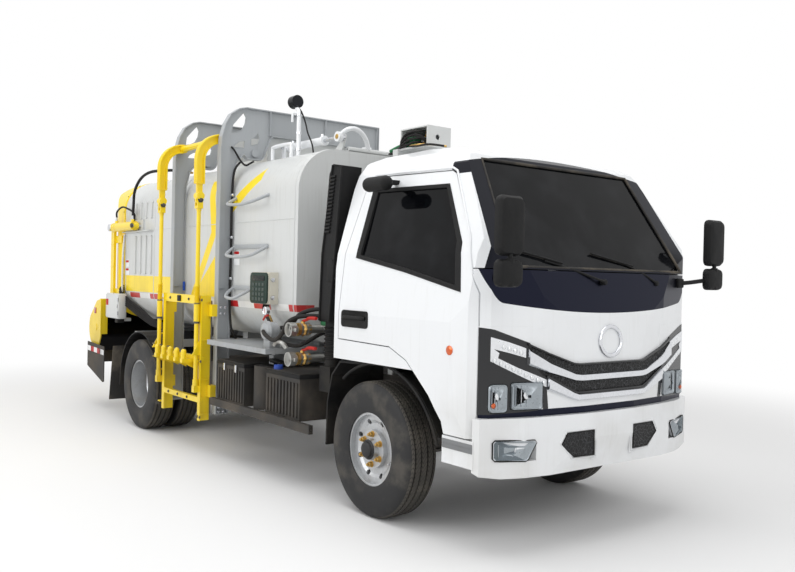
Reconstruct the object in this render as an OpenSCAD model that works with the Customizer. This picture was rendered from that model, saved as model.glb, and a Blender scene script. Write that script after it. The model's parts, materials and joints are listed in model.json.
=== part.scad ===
// Side-loading garbage truck on a light cab-over chassis.
// +X points forward, +Y to the left, +Z up. The origin is on the ground under the middle of the truck.

/* [Overall] */
// Length over bumper and rear door
overall_length = 5995; // [5600:1:6600]
// Width over the left mirror and the lifter's rods
overall_width = 2120; // [2060:1:2400]
// Bumper face ahead of the front axle
front_overhang = 1040; // [1000:1:1080]
// Front of the right mirror ahead of the front axle
mirror_reach = 1135; // [1100:1:1160]
// Distance between the axles
wheelbase = 3308; // [3200:1:3600]

/* [Wheels] */
// Tyre outer diameter
tyre_od = 775; // [740:1:790]
// Tyre section width
tyre_w = 200; // [180:1:205]
// Diameter of the rim where the tyre seats
rim_d = 411; // [380:1:430]
// Height of the rim's flange over the seat
rim_lip = 20; // [12:1:26]
// Distance between the front tyres' mid planes
front_track = 1519; // [1490:1:1540]
// Distance between the mid planes of a twin pair's tyres
dual_spacing = 230; // [225:1:245]
// Distance between the mid planes of the two twin pairs
rear_track = 1480; // [1470:1:1500]
// Radial gap between a tyre and its rim
bead_gap = 0.3; // [0.2:0.1:0.5]
// Kingpin's distance from the middle plane
kingpin_y = 690; // [680:1:700]
// Kingpin radius
kingpin_r = 16; // [12:1:18]
// Stub axle radius in the wheel hub
stub_r = 30; // [26:1:34]
// Radial clearance of a turning fit
run_gap = 0.05; // [0.02:0.01:0.1]

/* [Chassis] */
// Outer half width of the frame
rail_out = 375; // [360:1:390]
// Rail height
rail_h = 180; // [160:1:200]
// Top of the frame above the ground
rail_top = 740; // [720:1:760]
// Rail flange width
rail_flange = 60; // [50:1:70]
// Rail wall
rail_wall = 8; // [6:1:10]
// Height of the sub-frame that carries the body
subframe_h = 60; // [50:1:80]
// Height of the tank's saddles over the sub-frame
saddle_h = 100; // [80:1:120]

/* [Cab] */
// Half width of the cab at the belt
cab_half = 880; // [860:1:900]
// Cab wall, as thick as a whole panel
cab_wall = 40; // [30:1:50]
// Back of the cab behind the front axle
cab_back = 385; // [360:1:400]
// Top of the roof
roof_z = 2110; // [2080:1:2160]
// Underside of the cab floor
floor_z = 880; // [870:1:900]
// Gap around a door
door_gap = 6; // [5:0.5:8]
// Thickness of a window glass
glass_t = 6; // [5:1:8]
// Windscreen foot at the middle, ahead of the front axle
screen_foot_x = 950; // [930:1:970]
// Windscreen foot height
screen_foot_z = 1440; // [1400:1:1460]
// Windscreen top at the middle, ahead of the front axle
screen_top_x = 590; // [560:1:620]
// Windscreen top height
screen_top_z = 2030; // [2000:1:2050]

/* [Tank] */
// Half width of the tank
tank_half = 745; // [720:1:760]
// Front end of the tank behind the front axle
tank_front = 1020; // [1000:1:1060]
// Length of the tank's barrel
tank_len = 3250; // [3100:1:3400]
// Height of the tank
tank_h = 1340; // [1260:1:1400]
// Radius of the tank's long edges
tank_r = 300; // [260:1:340]
// Tank wall
tank_wall = 14; // [10:1:20]
// Hopper mouth length along the truck
mouth_len = 640; // [560:1:680]
// Hopper mouth width across the truck
mouth_w = 760; // [600:1:800]

/* [Lifter] */
// Middle of the lifter behind the front axle
lift_x = 2445; // [2430:1:2460]
// Distance between the two posts' middles
post_pitch = 850; // [830:1:870]
// Post width along the truck
post_t = 60; // [50:1:65]
// Post depth across the truck
post_d = 105; // [95:1:110]
// Foot of the posts above the ground
post_foot = 300; // [260:1:340]
// Top of the rail plates
plate_top = 2645; // [2600:1:2700]
// Depth of the rail plates' inner end
plate_d = 200; // [180:1:220]
// Distance between the two lifter arms' middles
arm_pitch = 720; // [700:1:730]
// Rod line's distance from the middle plane
rod_y = 975; // [970:1:990]
// Lower end of the arms above the ground
clevis_z = 1915; // [1890:1:1940]
// Turning point of the arms, distance from the middle plane
arc_y = 560; // [540:1:580]
// Turning point of the arms above the ground
arc_z = 2300; // [2280:1:2320]

/* [Rear] */
// Rear door cylinders above the ground
gate_cyl_z = 1790; // [1760:1:1820]

/* [Hidden] */
$fn = 48;

seat_gap = 0.3;
half_width = overall_width / 2;
rear_end = overall_length - front_overhang;
axle_x = (rear_end - mirror_reach) / 2;
hub_z = tyre_od / 2;
front_wheel_y = front_track / 2;
rear_wheel_y = rear_track / 2;
rim_r = rim_d / 2;
rim_half = tyre_w / 2 - 16;
lip_t = 5;
panel_split = seat_gap / 2;
sub_top = rail_top + subframe_h;
tank_z = sub_top + saddle_h;
tank_top = tank_z + tank_h;
tank_back = tank_front + tank_len;
mouth_x = lift_x;
post_front = lift_x - post_pitch / 2;
post_rear = lift_x + post_pitch / 2;
post_out = tank_half + post_d;
arm_front = lift_x - arm_pitch / 2;
arm_rear = lift_x + arm_pitch / 2;
side_sign = [-1, 1];

// Turns an outline drawn as (x, z) into a wall from y0 to y1
module along_y(y0, y1) {
    translate([0, y1, 0]) rotate([90, 0, 0]) linear_extrude(y1 - y0) children();
}

// Turns an outline drawn as (y, z) into a bar from x0 to x1
module along_x(x0, x1) {
    translate([x0, 0, 0]) rotate([90, 0, 90]) linear_extrude(x1 - x0) children();
}

// Box from one corner to the opposite one
module span(a, b) {
    translate(a) cube([b[0] - a[0], b[1] - a[1], b[2] - a[2]]);
}

// Box that exists on both sides, with y0 < y1 on the left side
module pair(x0, x1, y0, y1, z0, z1) {
    for (s = side_sign) span([x0, s < 0 ? -y1 : y0, z0], [x1, s < 0 ? -y0 : y1, z1]);
}

// Round bar along Y
module bar_y(x, z, y0, y1, r) {
    translate([x, y1, z]) rotate([90, 0, 0]) cylinder(h = y1 - y0, r = r);
}

// Round bar along X
module bar_x(y, z, x0, x1, r) {
    translate([x0, y, z]) rotate([0, 90, 0]) cylinder(h = x1 - x0, r = r);
}

// Places what is drawn from the front axle into the truck's own frame
module at_axle() {
    translate([axle_x, 0, 0]) children();
}

// Rectangle with round corners, low corner first
module round_rect(x0, y0, x1, y1, r) {
    union() {
        translate([x0 + r, y0]) square([x1 - x0 - 2 * r, y1 - y0]);
        translate([x0, y0 + r]) square([x1 - x0, y1 - y0 - 2 * r]);
        for (x = [x0 + r, x1 - r], y = [y0 + r, y1 - r]) translate([x, y]) circle(r = r);
    }
}

// Points of an arc in degrees
function arc(cx, cy, r, a0, a1, n = 10) = [
    for (i = [0 : n]) [cx + r * cos(a0 + (a1 - a0) * i / n), cy + r * sin(a0 + (a1 - a0) * i / n)]];

// ---- Chassis ----

module channel_rail(s) {
    along_x(-4400, 820)
        polygon([[s * rail_out, rail_top], [s * (rail_out - rail_flange), rail_top],
                 [s * (rail_out - rail_flange), rail_top - rail_wall],
                 [s * (rail_out - rail_wall), rail_top - rail_wall],
                 [s * (rail_out - rail_wall), rail_top - rail_h + rail_wall],
                 [s * (rail_out - rail_flange), rail_top - rail_h + rail_wall],
                 [s * (rail_out - rail_flange), rail_top - rail_h],
                 [s * rail_out, rail_top - rail_h]]);
}

module frame_rails() {
    color("dimgray") at_axle() union() {
        for (s = side_sign) channel_rail(s);
        for (x = [-4390, -3700, -2700, -1900, -900, 740])
            span([x, -rail_out + rail_wall / 2, rail_top - rail_h + 30], [x + 60, rail_out - rail_wall / 2, rail_top - 30]);
        for (x = [-320, 690]) pair(x, x + 60, rail_out - rail_flange, rail_out, rail_top - 4, floor_z - seat_gap);
    }
}

module subframe() {
    color("gray") at_axle() union() {
        pair(-tank_back + 60, -tank_front - 10, rail_out - 80, rail_out, rail_top, sub_top);
        for (x = [-tank_front - 320, -post_front, -post_rear, -tank_back + 330])
            span([x - post_t / 2, -tank_half, rail_top], [x + post_t / 2, tank_half, sub_top]);
        for (x = [-tank_front - 320, -lift_x, -tank_back + 330])
            span([x - 40, -rail_out, sub_top - 10], [x + 40, rail_out, tank_z]);
    }
}

axle_beam_y = kingpin_y - 42;

module front_axle() {
    color("dimgray") at_axle() difference() {
        union() {
            span([-32, -axle_beam_y, hub_z - 60], [32, axle_beam_y, hub_z - 44]);
            span([-32, -axle_beam_y, hub_z + 12], [32, axle_beam_y, hub_z + 28]);
            span([-8, -axle_beam_y, hub_z - 45], [8, axle_beam_y, hub_z + 13]);
            for (s = side_sign) {
                translate([0, s * kingpin_y, hub_z - 55]) cylinder(h = 100, r = 34);
                span([-32, min(s * kingpin_y, s * (axle_beam_y - 40)), hub_z - 55],
                     [32, max(s * kingpin_y, s * (axle_beam_y - 40)), hub_z + 45]);
            }
        }
        for (s = side_sign) translate([0, s * kingpin_y, hub_z - 60]) cylinder(h = 120, r = kingpin_r + run_gap);
    }
}

knuckle_in = kingpin_y + 40;
hub_face = front_wheel_y + 72;

module knuckle(s) {
    color("dimgray") at_axle() union() {
        translate([0, s * kingpin_y, hub_z - 95]) cylinder(h = 190, r = kingpin_r);
        for (z = [hub_z - 95, hub_z + 55]) {
            translate([0, s * kingpin_y, z]) cylinder(h = 30, r = 34);
            span([-30, min(s * kingpin_y, s * (knuckle_in + 24)), z], [30, max(s * kingpin_y, s * (knuckle_in + 24)), z + 30]);
        }
        span([-30, min(s * knuckle_in, s * (knuckle_in + 24)), hub_z - 95],
             [30, max(s * knuckle_in, s * (knuckle_in + 24)), hub_z + 85]);
        bar_y(0, hub_z, min(s * (knuckle_in + 20), s * (hub_face - 4)), max(s * (knuckle_in + 20), s * (hub_face - 4)), stub_r);
    }
}
module knuckle_right() { knuckle(-1); }
module knuckle_left() { knuckle(1); }

// Tyre section as (radius, distance from its own mid plane)
module tyre_ring() {
    h = tyre_w / 2;
    r0 = rim_r + bead_gap;
    r1 = tyre_od / 2;
    bead = rim_half - lip_t - bead_gap;
    rotate_extrude($fn = 96) polygon(concat(
        [[r0, -bead], [r0 + rim_lip + 1, -bead]],
        [[r1 - 95, -h], [r1 - 55, -h + 2], [r1 - 22, -h + 12], [r1 - 6, -h + 24], [r1, -h + 42]],
        [[r1, h - 42], [r1 - 6, h - 24], [r1 - 22, h - 12], [r1 - 55, h - 2], [r1 - 95, h]],
        [[r0 + rim_lip + 1, bead], [r0, bead]]));
}

module tyre_at(x, y) {
    translate([x, y, hub_z]) rotate([90, 0, 0]) tyre_ring();
}
module tyre_front(s) { color("#1c1c1e") at_axle() tyre_at(0, s * front_wheel_y); }
module tyre_front_right() { tyre_front(-1); }
module tyre_front_left() { tyre_front(1); }
module tyres_rear(s) {
    color("#1c1c1e") at_axle() for (k = side_sign) tyre_at(-wheelbase, s * (rear_wheel_y + k * dual_spacing / 2));
}
module tyres_rear_right() { tyres_rear(-1); }
module tyres_rear_left() { tyres_rear(1); }

// Rim barrel as (radius, distance from its own mid plane)
module rim_barrel() {
    h = rim_half;
    rotate_extrude($fn = 96) polygon([[rim_r - 10, -h], [rim_r + rim_lip, -h], [rim_r + rim_lip, -h + lip_t],
        [rim_r, -h + lip_t], [rim_r, h - lip_t], [rim_r + rim_lip, h - lip_t], [rim_r + rim_lip, h], [rim_r - 10, h]]);
}

// Front rim, outer face towards +Z
module rim_front_shape() {
    difference() {
        union() {
            rim_barrel();
            translate([0, 0, 38]) rotate_extrude($fn = 96) polygon([[stub_r + run_gap, -6], [150, -6], [170, 4], [rim_r - 5, 4],
                [rim_r - 5, 16], [164, 16], [146, 6], [110, 6], [108, 34], [62, 34], [58, 60], [stub_r + run_gap, 60]]);
        }
        for (a = [0 : 45 : 315]) rotate(a + 22.5) translate([158, 0, 20]) cylinder(h = 50, r = 15);
    }
}

// Rear rim pair, the outer rim's open face towards +Z
module rims_rear_shape() {
    d = dual_spacing / 2;
    union() {
        for (k = side_sign) translate([0, 0, k * d]) rim_barrel();
        for (k = side_sign) mirror([0, 0, k < 0 ? 1 : 0]) difference() {
            rotate_extrude($fn = 96) polygon([[70, 0], [140, 0], [rim_r - 6, d - 62], [rim_r - 6, d - 50], [rim_r - 14, d - 50],
                [134, 13], [70, 13]]);
            for (a = [0 : 60 : 300]) rotate(a) translate([160, 0, -10]) cylinder(h = 90, r = 16);
        }
        translate([0, 0, -90]) rotate_extrude($fn = 64)
            polygon([[stub_r + 25 + run_gap, 0], [118, 0], [118, 90], [96, 92], [92, 178], [70, 184], [stub_r + 25 + run_gap, 184]]);
    }
}

module rim_front(s) {
    color("silver") at_axle() translate([0, s * front_wheel_y, hub_z]) rotate([s < 0 ? 90 : -90, 0, 0]) rim_front_shape();
}
module rim_front_right() { rim_front(-1); }
module rim_front_left() { rim_front(1); }
module rims_rear(s) {
    color("silver") at_axle() translate([-wheelbase, s * rear_wheel_y, hub_z]) rotate([s < 0 ? 90 : -90, 0, 0]) rims_rear_shape();
}
module rims_rear_right() { rims_rear(-1); }
module rims_rear_left() { rims_rear(1); }

module rear_axle() {
    color("dimgray") at_axle() union() {
        bar_y(-wheelbase, hub_z, -rear_wheel_y - 88, rear_wheel_y + 88, stub_r + 25);
        bar_y(-wheelbase, hub_z, -rear_wheel_y + 120, rear_wheel_y - 120, 68);
        bar_y(-wheelbase, hub_z, -110, 110, 165);
        bar_x(0, hub_z, -wheelbase, -wheelbase + 280, 60);
    }
}

// Leaf pack on its axle: axle place, half length, middle of its width, top of the axle's seat
module leaf_pack(x, half_len, y, z0) {
    rise = rail_top - rail_h - z0;
    along_y(y - 32, y + 32) polygon([
        [x - half_len, z0 + rise], [x - half_len, z0 + rise - 14], [x - half_len * 0.6, z0 + 30], [x - half_len * 0.3, z0 + 4],
        [x - 60, z0], [x + 60, z0], [x + half_len * 0.3, z0 + 4], [x + half_len * 0.6, z0 + 30],
        [x + half_len, z0 + rise - 14], [x + half_len, z0 + rise],
        [x + half_len * 0.6, z0 + 52], [x, z0 + 52], [x - half_len * 0.6, z0 + 52]]);
}

module springs() {
    color("#2a2a2c") at_axle() union() {
        for (s = side_sign) {
            leaf_pack(0, 560, s * (rail_out - 32), hub_z + 28);
            leaf_pack(-wheelbase, 600, s * (rail_out - 32), hub_z + 68);
        }
    }
}

module engine_block() {
    color("#3a3d40") at_axle() union() {
        span([-780, -270, 500], [60, 270, 860]);
        for (x = [-640, -100]) span([x, -rail_out + rail_wall + seat_gap, 640], [x + 60, rail_out - rail_wall - seat_gap, 690]);
    }
}

// ---- Cab ----

// Side outline of the whole cab, inset by t
module cab_side(t) {
    offset(delta = -t) polygon([[-cab_back, floor_z - 40], [-cab_back, 1900], [-cab_back + 30, roof_z - 60], [-cab_back + 120, roof_z - 15],
        [100, roof_z], [330, roof_z - 15], [screen_top_x - 60, screen_top_z + 32], [screen_top_x, screen_top_z],
        [screen_foot_x, screen_foot_z], [990, 1200], [1005, 900], [1010, 440], [200, 440], [0, floor_z - 40]]);
}

// Cross outline of the cab, inset by t
module cab_cross(t) {
    offset(delta = -t) polygon([for (s = [1, -1], p = [[0, 0], [1, 0], [2, 0], [3, 0], [4, 0], [5, 0], [6, 0]])
        let (i = s > 0 ? p[0] : 6 - p[0],
             q = [[cab_half - 25, 400], [cab_half - 4, 700], [cab_half, 1150], [cab_half - 40, 1500],
                  [cab_half - 175, roof_z - 130], [cab_half - 230, roof_z - 50], [cab_half - 330, roof_z]][i])
        [s * q[0], q[1]]]);
}

// Plan outline of the cab, inset by t
module cab_plan(t) {
    offset(delta = -t) polygon([for (s = [1, -1], p = [0 : 6])
        let (i = s > 0 ? p : 6 - p,
             q = [[-cab_back, cab_half - 30], [-cab_back + 40, cab_half], [700, cab_half], [820, cab_half - 12],
                  [900, cab_half - 90], [975, 500], [1012, 160]][i])
        [q[0], s * q[1]]]);
}

// Cab body inset by t: 0 gives the outer skin, cab_wall the inner one
module cab_body(t) {
    intersection() {
        along_y(-1000, 1000) cab_side(t);
        along_x(-1000, 1200) cab_cross(t);
        linear_extrude(2400) cab_plan(t);
    }
}

door_front_x = 855;
door_rear_x = -300;
door_low_z = 585;
arch_r = 555;

// Door outline as (x, z), grown by g
module door_outline(g) {
    offset(delta = g) polygon([[door_rear_x, 1000], [200, 990], [350, 930], [540, 765], [640, door_low_z + 60], [655, door_low_z],
        [door_front_x, door_low_z], [door_front_x, 1300], [775, 1560], [545, 1920], [510, 1938],
        [-180, 1955], [-250, 1880], [door_rear_x, 1500]]);
}

// Window outline as (x, z), grown by g
module window_outline(g) {
    offset(delta = g) polygon([[-175, 1480], [300, 1400], [745, 1310], [708, 1555], [505, 1865], [-165, 1880]]);
}

// Wheel arch outline as (x, z), grown by g
module arch_outline(g) {
    offset(delta = g) polygon(concat([[-500, 300], [-500, 850], [-300, 875]], arc(60, 320, arch_r, 98, 20, 8), [[590, 300]]));
}

// Windscreen hole as (y, z), grown by g
module screen_outline(g) {
    offset(delta = g) polygon([[-700, screen_foot_z - 5], [700, screen_foot_z - 5], [600, screen_top_z - 25], [-600, screen_top_z - 25]]);
}

// Everything in front of the door and below the windscreen
module front_zone(g) {
    along_y(-1000, 1000) polygon([[door_front_x + door_gap + g, 0], [door_front_x + door_gap + g, 1300], [door_front_x - 36 + g, 1425 - g],
        [1200, 1425 - g], [1200, 0]]);
}

bumper_top = 690;
fog_in = 550;
fog_out = 750;
fog_low = 477;

module cab_shell() {
    color("white") at_axle() difference() {
        cab_body(0);
        cab_body(cab_wall);
        for (s = side_sign) along_y(min(s * 400, s * 1000), max(s * 400, s * 1000)) {
            door_outline(door_gap);
            arch_outline(0);
        }
        along_x(450, 1200) screen_outline(0);
        along_x(-900, -200) round_rect(-480, 1480, 480, 1880, 60);
        front_zone(-panel_split);
        span([-1000, -1000, 0], [640, 1000, floor_z]);
        span([630, -cab_half + cab_wall + 30, 0], [1200, cab_half - cab_wall - 30, floor_z]);
        span([600, -1000, 0], [1200, 1000, door_low_z + 75]);
    }
}

module front_panel() {
    color("#23272e") at_axle() intersection() {
        difference() {
            cab_body(0);
            cab_body(cab_wall);
            for (s = side_sign) headlight_zone(s, seat_gap);
        }
        front_zone(panel_split);
        span([0, -1000, bumper_top + seat_gap], [1200, 1000, 1420]);
    }
}

// Block that holds a headlight, grown by g
module headlight_zone(s, g) {
    span([700, s < 0 ? -1000 : 470 - g, 800 - g], [1200, s < 0 ? -470 + g : 1000, 1130 + g]);
}

module headlights() {
    color("#dfe6ea") at_axle() for (s = side_sign) intersection() {
        cab_body(4);
        headlight_zone(s, 0);
        front_zone(panel_split);
        difference() {
            span([700, -1000, 700], [1200, 1000, 1300]);
            cab_body(cab_wall + 8);
        }
    }
}

module bumper() {

    color("white") at_axle() difference() {
        union() {
        pair(640, 872, 790, 862, 440, door_low_z - door_gap - 2);
        pair(820 + seat_gap, 960, rail_out - rail_flange, rail_out, 580, 680);
        intersection() {
            translate([0, 0, 395]) linear_extrude(bumper_top - 395)
                polygon([[862, -862], [900, -850], [985, -620], [1020, -400], [front_overhang, -160], [front_overhang, 160],
                         [1020, 400], [985, 620], [900, 850], [862, 862], [862, 780], [862, 700], [900, 560], [935, 300],
                         [935, -300], [900, -560], [862, -700]]);
            along_y(-1000, 1000) polygon([[800, bumper_top], [front_overhang, bumper_top], [front_overhang, 560], [front_overhang - 30, 395],
                [940, 395], [800, 450]]);
        }
        }
        for (s = side_sign) {
            along_x(1000, 1100) polygon([for (p = [[165, 470], [380, 540], [365, 590], [165, 590]]) [s * p[0], p[1]]]);
            span([925, s < 0 ? -fog_out : fog_in, fog_low], [1100, s < 0 ? -fog_in : fog_out, fog_low + 92]);
        }
    }
}

module screen_zone(g) {
    intersection() {
        along_x(450, 1200) screen_outline(-g);
        along_y(-1000, 1000) polygon([[450, 1425 + g], [1200, 1425 + g], [1200, 2100], [450, 2100]]);
    }
}

module windscreen() {
    color("#20262b") at_axle() intersection() {
        difference() {
            cab_body(10);
            cab_body(10 + glass_t);
        }
        screen_zone(seat_gap);
    }
}

module cab_floor() {
    color("#3c3f42") at_axle() difference() {
        union() {
            intersection() {
                cab_body(cab_wall + seat_gap);
                span([-1000, -1000, floor_z], [830, 1000, floor_z + 30]);
            }
            intersection() {
                cab_body(cab_wall + seat_gap);
                span([-700, -300, floor_z + 20], [330, 300, floor_z + 210]);
            }
        }
        for (s = side_sign) along_y(min(s * 700, s * 1000), max(s * 700, s * 1000)) polygon([[640, 0], [840, 0], [840, 2000], [640, 2000]]);
    }
}

dash_half = 725;

module dashboard() {
    color("#303336") at_axle() intersection() {
        cab_body(cab_wall + 12);
        along_y(-dash_half, dash_half) polygon([[600, 1150], [560, 1290], [600, 1370], [760, 1400], [930, 1380], [945, 1100], [820, 1050], [820, floor_z + 30 + seat_gap],
            [740, floor_z + 30 + seat_gap], [740, 1120]]);
    }
}

module seat_shape(y0, y1) {
    span([-130, y0, floor_z + 230], [370, y1, floor_z + 340]);
    along_y(y0, y1) polygon([[-130, floor_z + 230], [-20, floor_z + 230], [-120, floor_z + 840], [-200, floor_z + 840]]);
    along_y((y0 + y1) / 2 - 120, (y0 + y1) / 2 + 120) polygon([[-196, floor_z + 830], [-124, floor_z + 830], [-140, floor_z + 990], [-196, floor_z + 990]]);
    span([-100, y0 + 60, floor_z + 30], [300, min(y1 - 60, y0 + 600), floor_z + 231]);
}

module seats() {
    color("#4a4c4f") at_axle() {
        union() { seat_shape(305, 690); span([-100, 306, floor_z + 29.7 + seat_gap], [300, 500, floor_z + 231]); }
        union() {
            span([-130, -690, floor_z + 230], [370, 230, floor_z + 340]);
            along_y(-690, 230) polygon([[-130, floor_z + 230], [-20, floor_z + 230], [-120, floor_z + 840], [-200, floor_z + 840]]);
            for (y = [-480, -40]) along_y(y - 120, y + 120)
                polygon([[-196, floor_z + 830], [-124, floor_z + 830], [-140, floor_z + 990], [-196, floor_z + 990]]);
            span([-100, -690, floor_z + 30], [300, -305, floor_z + 231]);
        }
    }
}

wheel_pos = [500, 500, floor_z + 570];
wheel_tilt = 35;

module steering_wheel() {
    color("#1d1e20") at_axle() translate(wheel_pos) rotate([0, -wheel_tilt, 0]) union() {
        rotate_extrude($fn = 64) translate([205, 0]) circle(r = 15, $fn = 24);
        translate([0, 0, -30]) cylinder(h = 40, r = 62);
        for (a = [90, 210, 330]) rotate(a) translate([50, -14, -20]) cube([145, 28, 16]);
        translate([0, 0, -131]) cylinder(h = 105, r = 20);
    }
}

module door(s) {
    color("white") at_axle() intersection() {
        difference() {
            cab_body(0);
            cab_body(cab_wall);
            along_y(-1000, 1000) window_outline(0);
        }
        along_y(min(s * 500, s * 1000), max(s * 500, s * 1000)) difference() {
            door_outline(0);
            arch_outline(door_gap);
        }
    }
}
module door_right() { door(-1); }
module door_left() { door(1); }

module door_pane(s) {
    color("#2a3036") at_axle() intersection() {
        difference() {
            cab_body(12);
            cab_body(12 + glass_t);
        }
        along_y(min(s * 500, s * 1000), max(s * 500, s * 1000)) window_outline(-seat_gap);
    }
}
module glass_right() { door_pane(-1); }
module glass_left() { door_pane(1); }

// ---- Cab fittings ----

// Mirror set: side, head's middle and the foot on the cab corner
module mirror_set(s, x, y, foot_x, foot_y) {
    head_x = x - 30;
    span([head_x, min(s * (y - 80), s * (y + 80)), 1480], [head_x + 55, max(s * (y - 80), s * (y + 80)), 1760]);
    span([head_x, min(s * (y - 75), s * (y + 80)), 1335], [head_x + 50, max(s * (y - 75), s * (y + 80)), 1465]);
    translate([x, s * y, 1345]) cylinder(h = 400, r = 12);
    hull() for (p = [[x, s * y, 1400], [foot_x, s * foot_y, 1375]]) translate(p) sphere(r = 13, $fn = 20);
}

module mirrors() {
    color("#1f2124") at_axle() difference() {
        union() {
            mirror_set(-1, 1110, 880, 930, 700);
            mirror_set(1, 990, half_width - 80, 930, 700);
        }
        cab_body(-seat_gap);
    }
}

module kerb_mirror() {
    color("#2b2d30") at_axle() difference() {
        union() {
            hull() for (x = [-30, 120]) translate([x, -870, 1890]) sphere(r = 42, $fn = 24);
            span([20, -865, 1895], [60, -690, 1920]);
        }
        cab_body(-seat_gap);
    }
}

module arch_liner(s) {
    along_y(min(s * 560, s * 830), max(s * 560, s * 830)) difference() {
        polygon(concat([[-492, 330], [-486, 600], [-440, 770], [-350, 860]], arc(60, 320, arch_r + 4.7, 98, 24, 10),
            arc(60, 320, arch_r - 8, 24, 98, 10), [[-344, 848], [-429, 764], [-474, 598], [-480, 330]]));
    }
}

module arch_liners() {
    color("#17181a") at_axle() for (s = side_sign) union() {
        arch_liner(s);
        span([-486, min(s * rail_out, s * 570), 560], [-474, max(s * rail_out, s * 570), 598]);
        span([-486, min(s * rail_out, s * 570), 640], [-474, max(s * rail_out, s * 570), 700]);
    }
}

module air_intake() {
    color("#1b1c1f") at_axle() union() {
        along_y(-800, -660) polygon([[-640, 1080], [-520, 1080], [-470, 1500], [-410, 2040], [-520, 2060], [-560, 2000], [-620, 1500]]);
        translate([-580, -730, 790]) cylinder(h = 300, r = 52);
        span([-640, -790, 640], [-520, -rail_out, 800]);
    }
}

// ---- Tank ----

// Tank cross section as (y, z), grown by g
module tank_section(g) {
    round_rect(-tank_half - g, tank_z - g, tank_half + g, tank_top + g, tank_r + g);
}

gate_pin_r = 12;
gate_pivot_x = -tank_back - 12;
gate_pivot_z = tank_top + 26;
gate_barrel_x = -3840;
gate_eye_x = -4520;
gate_cyl_y = tank_half + 62;

// Ear of the rear door's hinge on the tank's top
module hinge_ear(y) {
    bar_y(gate_pivot_x, gate_pivot_z, y - 10, y + 10, 19);
    along_y(y - 10, y + 10) polygon([[gate_pivot_x, gate_pivot_z + 19], [gate_pivot_x + 4, gate_pivot_z - 18], [-tank_back + 2, tank_top],
        [-tank_back + 2, tank_top - 8], [-tank_back + 90, tank_top - 8], [-tank_back + 90, tank_top + 10]]);
}

module tank() {
    color("#c9cccb") at_axle() difference() {
        union() {
            along_x(-tank_back, -tank_front) tank_section(0);
            for (s = side_sign, k = side_sign) hinge_ear(s * 350 + k * 52);
            for (s = side_sign) {
                bar_y(gate_pivot_x, gate_pivot_z, s * 350 - 60, s * 350 + 60, gate_pin_r);
                span([gate_barrel_x - 60, min(s * (tank_half - 5), s * (gate_cyl_y - 45)), gate_cyl_z - 60],
                     [gate_barrel_x + 60, max(s * (tank_half - 5), s * (gate_cyl_y - 45)), gate_cyl_z + 60]);
                bar_y(gate_barrel_x, gate_cyl_z, min(s * (tank_half + 10), s * (gate_cyl_y + 30)), max(s * (tank_half + 10), s * (gate_cyl_y + 30)), gate_pin_r);
            }
        }
        along_x(-tank_back - 200, -tank_front - tank_wall) intersection() {
            tank_section(-tank_wall);
        }
        span([-mouth_x - mouth_len / 2, -mouth_w / 2 - 30, tank_top - 60], [-mouth_x + mouth_len / 2, mouth_w / 2 - 30, tank_top + 10]);
    }
}

module hopper() {
    x0 = -post_rear + post_t / 2;
    x1 = -post_front - post_t / 2;
    y0 = -mouth_w / 2 - 30 - 14;
    y1 = mouth_w / 2 - 30 + 14;
    color("#a9adad") at_axle() union() {
        span([x0, y0, tank_top], [x0 + 12, y1, 2560]);
        span([x1 - 12, y0, tank_top], [x1, y1, 2560]);
        span([x0, y1 - 12, tank_top], [x1, y1, 2600]);
        span([x0, y0, tank_top], [x1, y0 + 12, 2290]);
    }
}

module lift_outline() {
    top = plate_top;
    low = plate_top - plate_d;
    polygon([[-post_out, post_foot], [-post_out, 2300], [-post_out + 8, 2400], [-post_out + 35, 2500], [-post_out + 80, 2580],
        [-post_out + 150, top - 15], [-post_out + 210, top], [620, top], [620, low], [-410, low], [-440, low - 60],
        [-arc_y + 75, arc_z - 30], [-arc_y + 50, max(arc_z - 51, tank_top + 6)], [-arc_y - 60, max(arc_z - 51, tank_top + 6)],
        [-655, arc_z - 20], [-715, low - 230], [-tank_half, low - 360], [-tank_half, post_foot]]);
}

// Openings in the lift frame's plate: one under the shoulder, two about the pivot
module lift_openings() {
    translate([0, plate_top]) polygon([[-752, -205], [-745, -145], [-706, -98], [-655, -39], [-634, -75], [-642, -125], [-668, -175], [-712, -199]]);
    translate([0, arc_z]) polygon([[-733, 30], [-715, 60], [-680, 82], [-642, 88], [-644, 34]]);
    translate([0, arc_z]) polygon([[-588, 58], [-590, 108], [-560, 128], [-530, 158], [-514, 118], [-526, 78]]);
}

module lift_frame(x) {
    color("#8f9494") at_axle() union() {
        along_x(-x - 6, -x + 6) difference() {
            lift_outline();
            lift_openings();
        }
        along_x(-x - post_t / 2, -x + post_t / 2) difference() {
            lift_outline();
            offset(delta = -8) lift_outline();
        }
        span([-x - post_t / 2, -435, plate_top - plate_d + 4], [-x + post_t / 2, -427, plate_top - 4]);
        bar_x(-arc_y, arc_z, -x - post_t / 2, -x + post_t / 2, 30);
    }
}
module lift_frame_front() { lift_frame(post_front); }
module lift_frame_rear() { lift_frame(post_rear); }

// ---- Lifter ----

arm_w = 50;
arm_d = 32;
arm_bend_y = rod_y - 175;
arm_bend_z = 2215;
arm_tip_z = arm_bend_z + 175;
lug_t = 24;
lug_len = 120;
fork_gap = 3;

// Arm outline as (y, z), inset by t
module arm_outline(t) {
    offset(delta = -t) polygon(concat([[-rod_y - arm_d, clevis_z + lug_len]], arc(-arm_bend_y, arm_bend_z, 175 + arm_d, 180, 88, 10),
        arc(-arm_bend_y, arm_bend_z, 175 - arm_d, 88, 180, 10), [[-rod_y + arm_d, clevis_z + lug_len]]));
}

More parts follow.
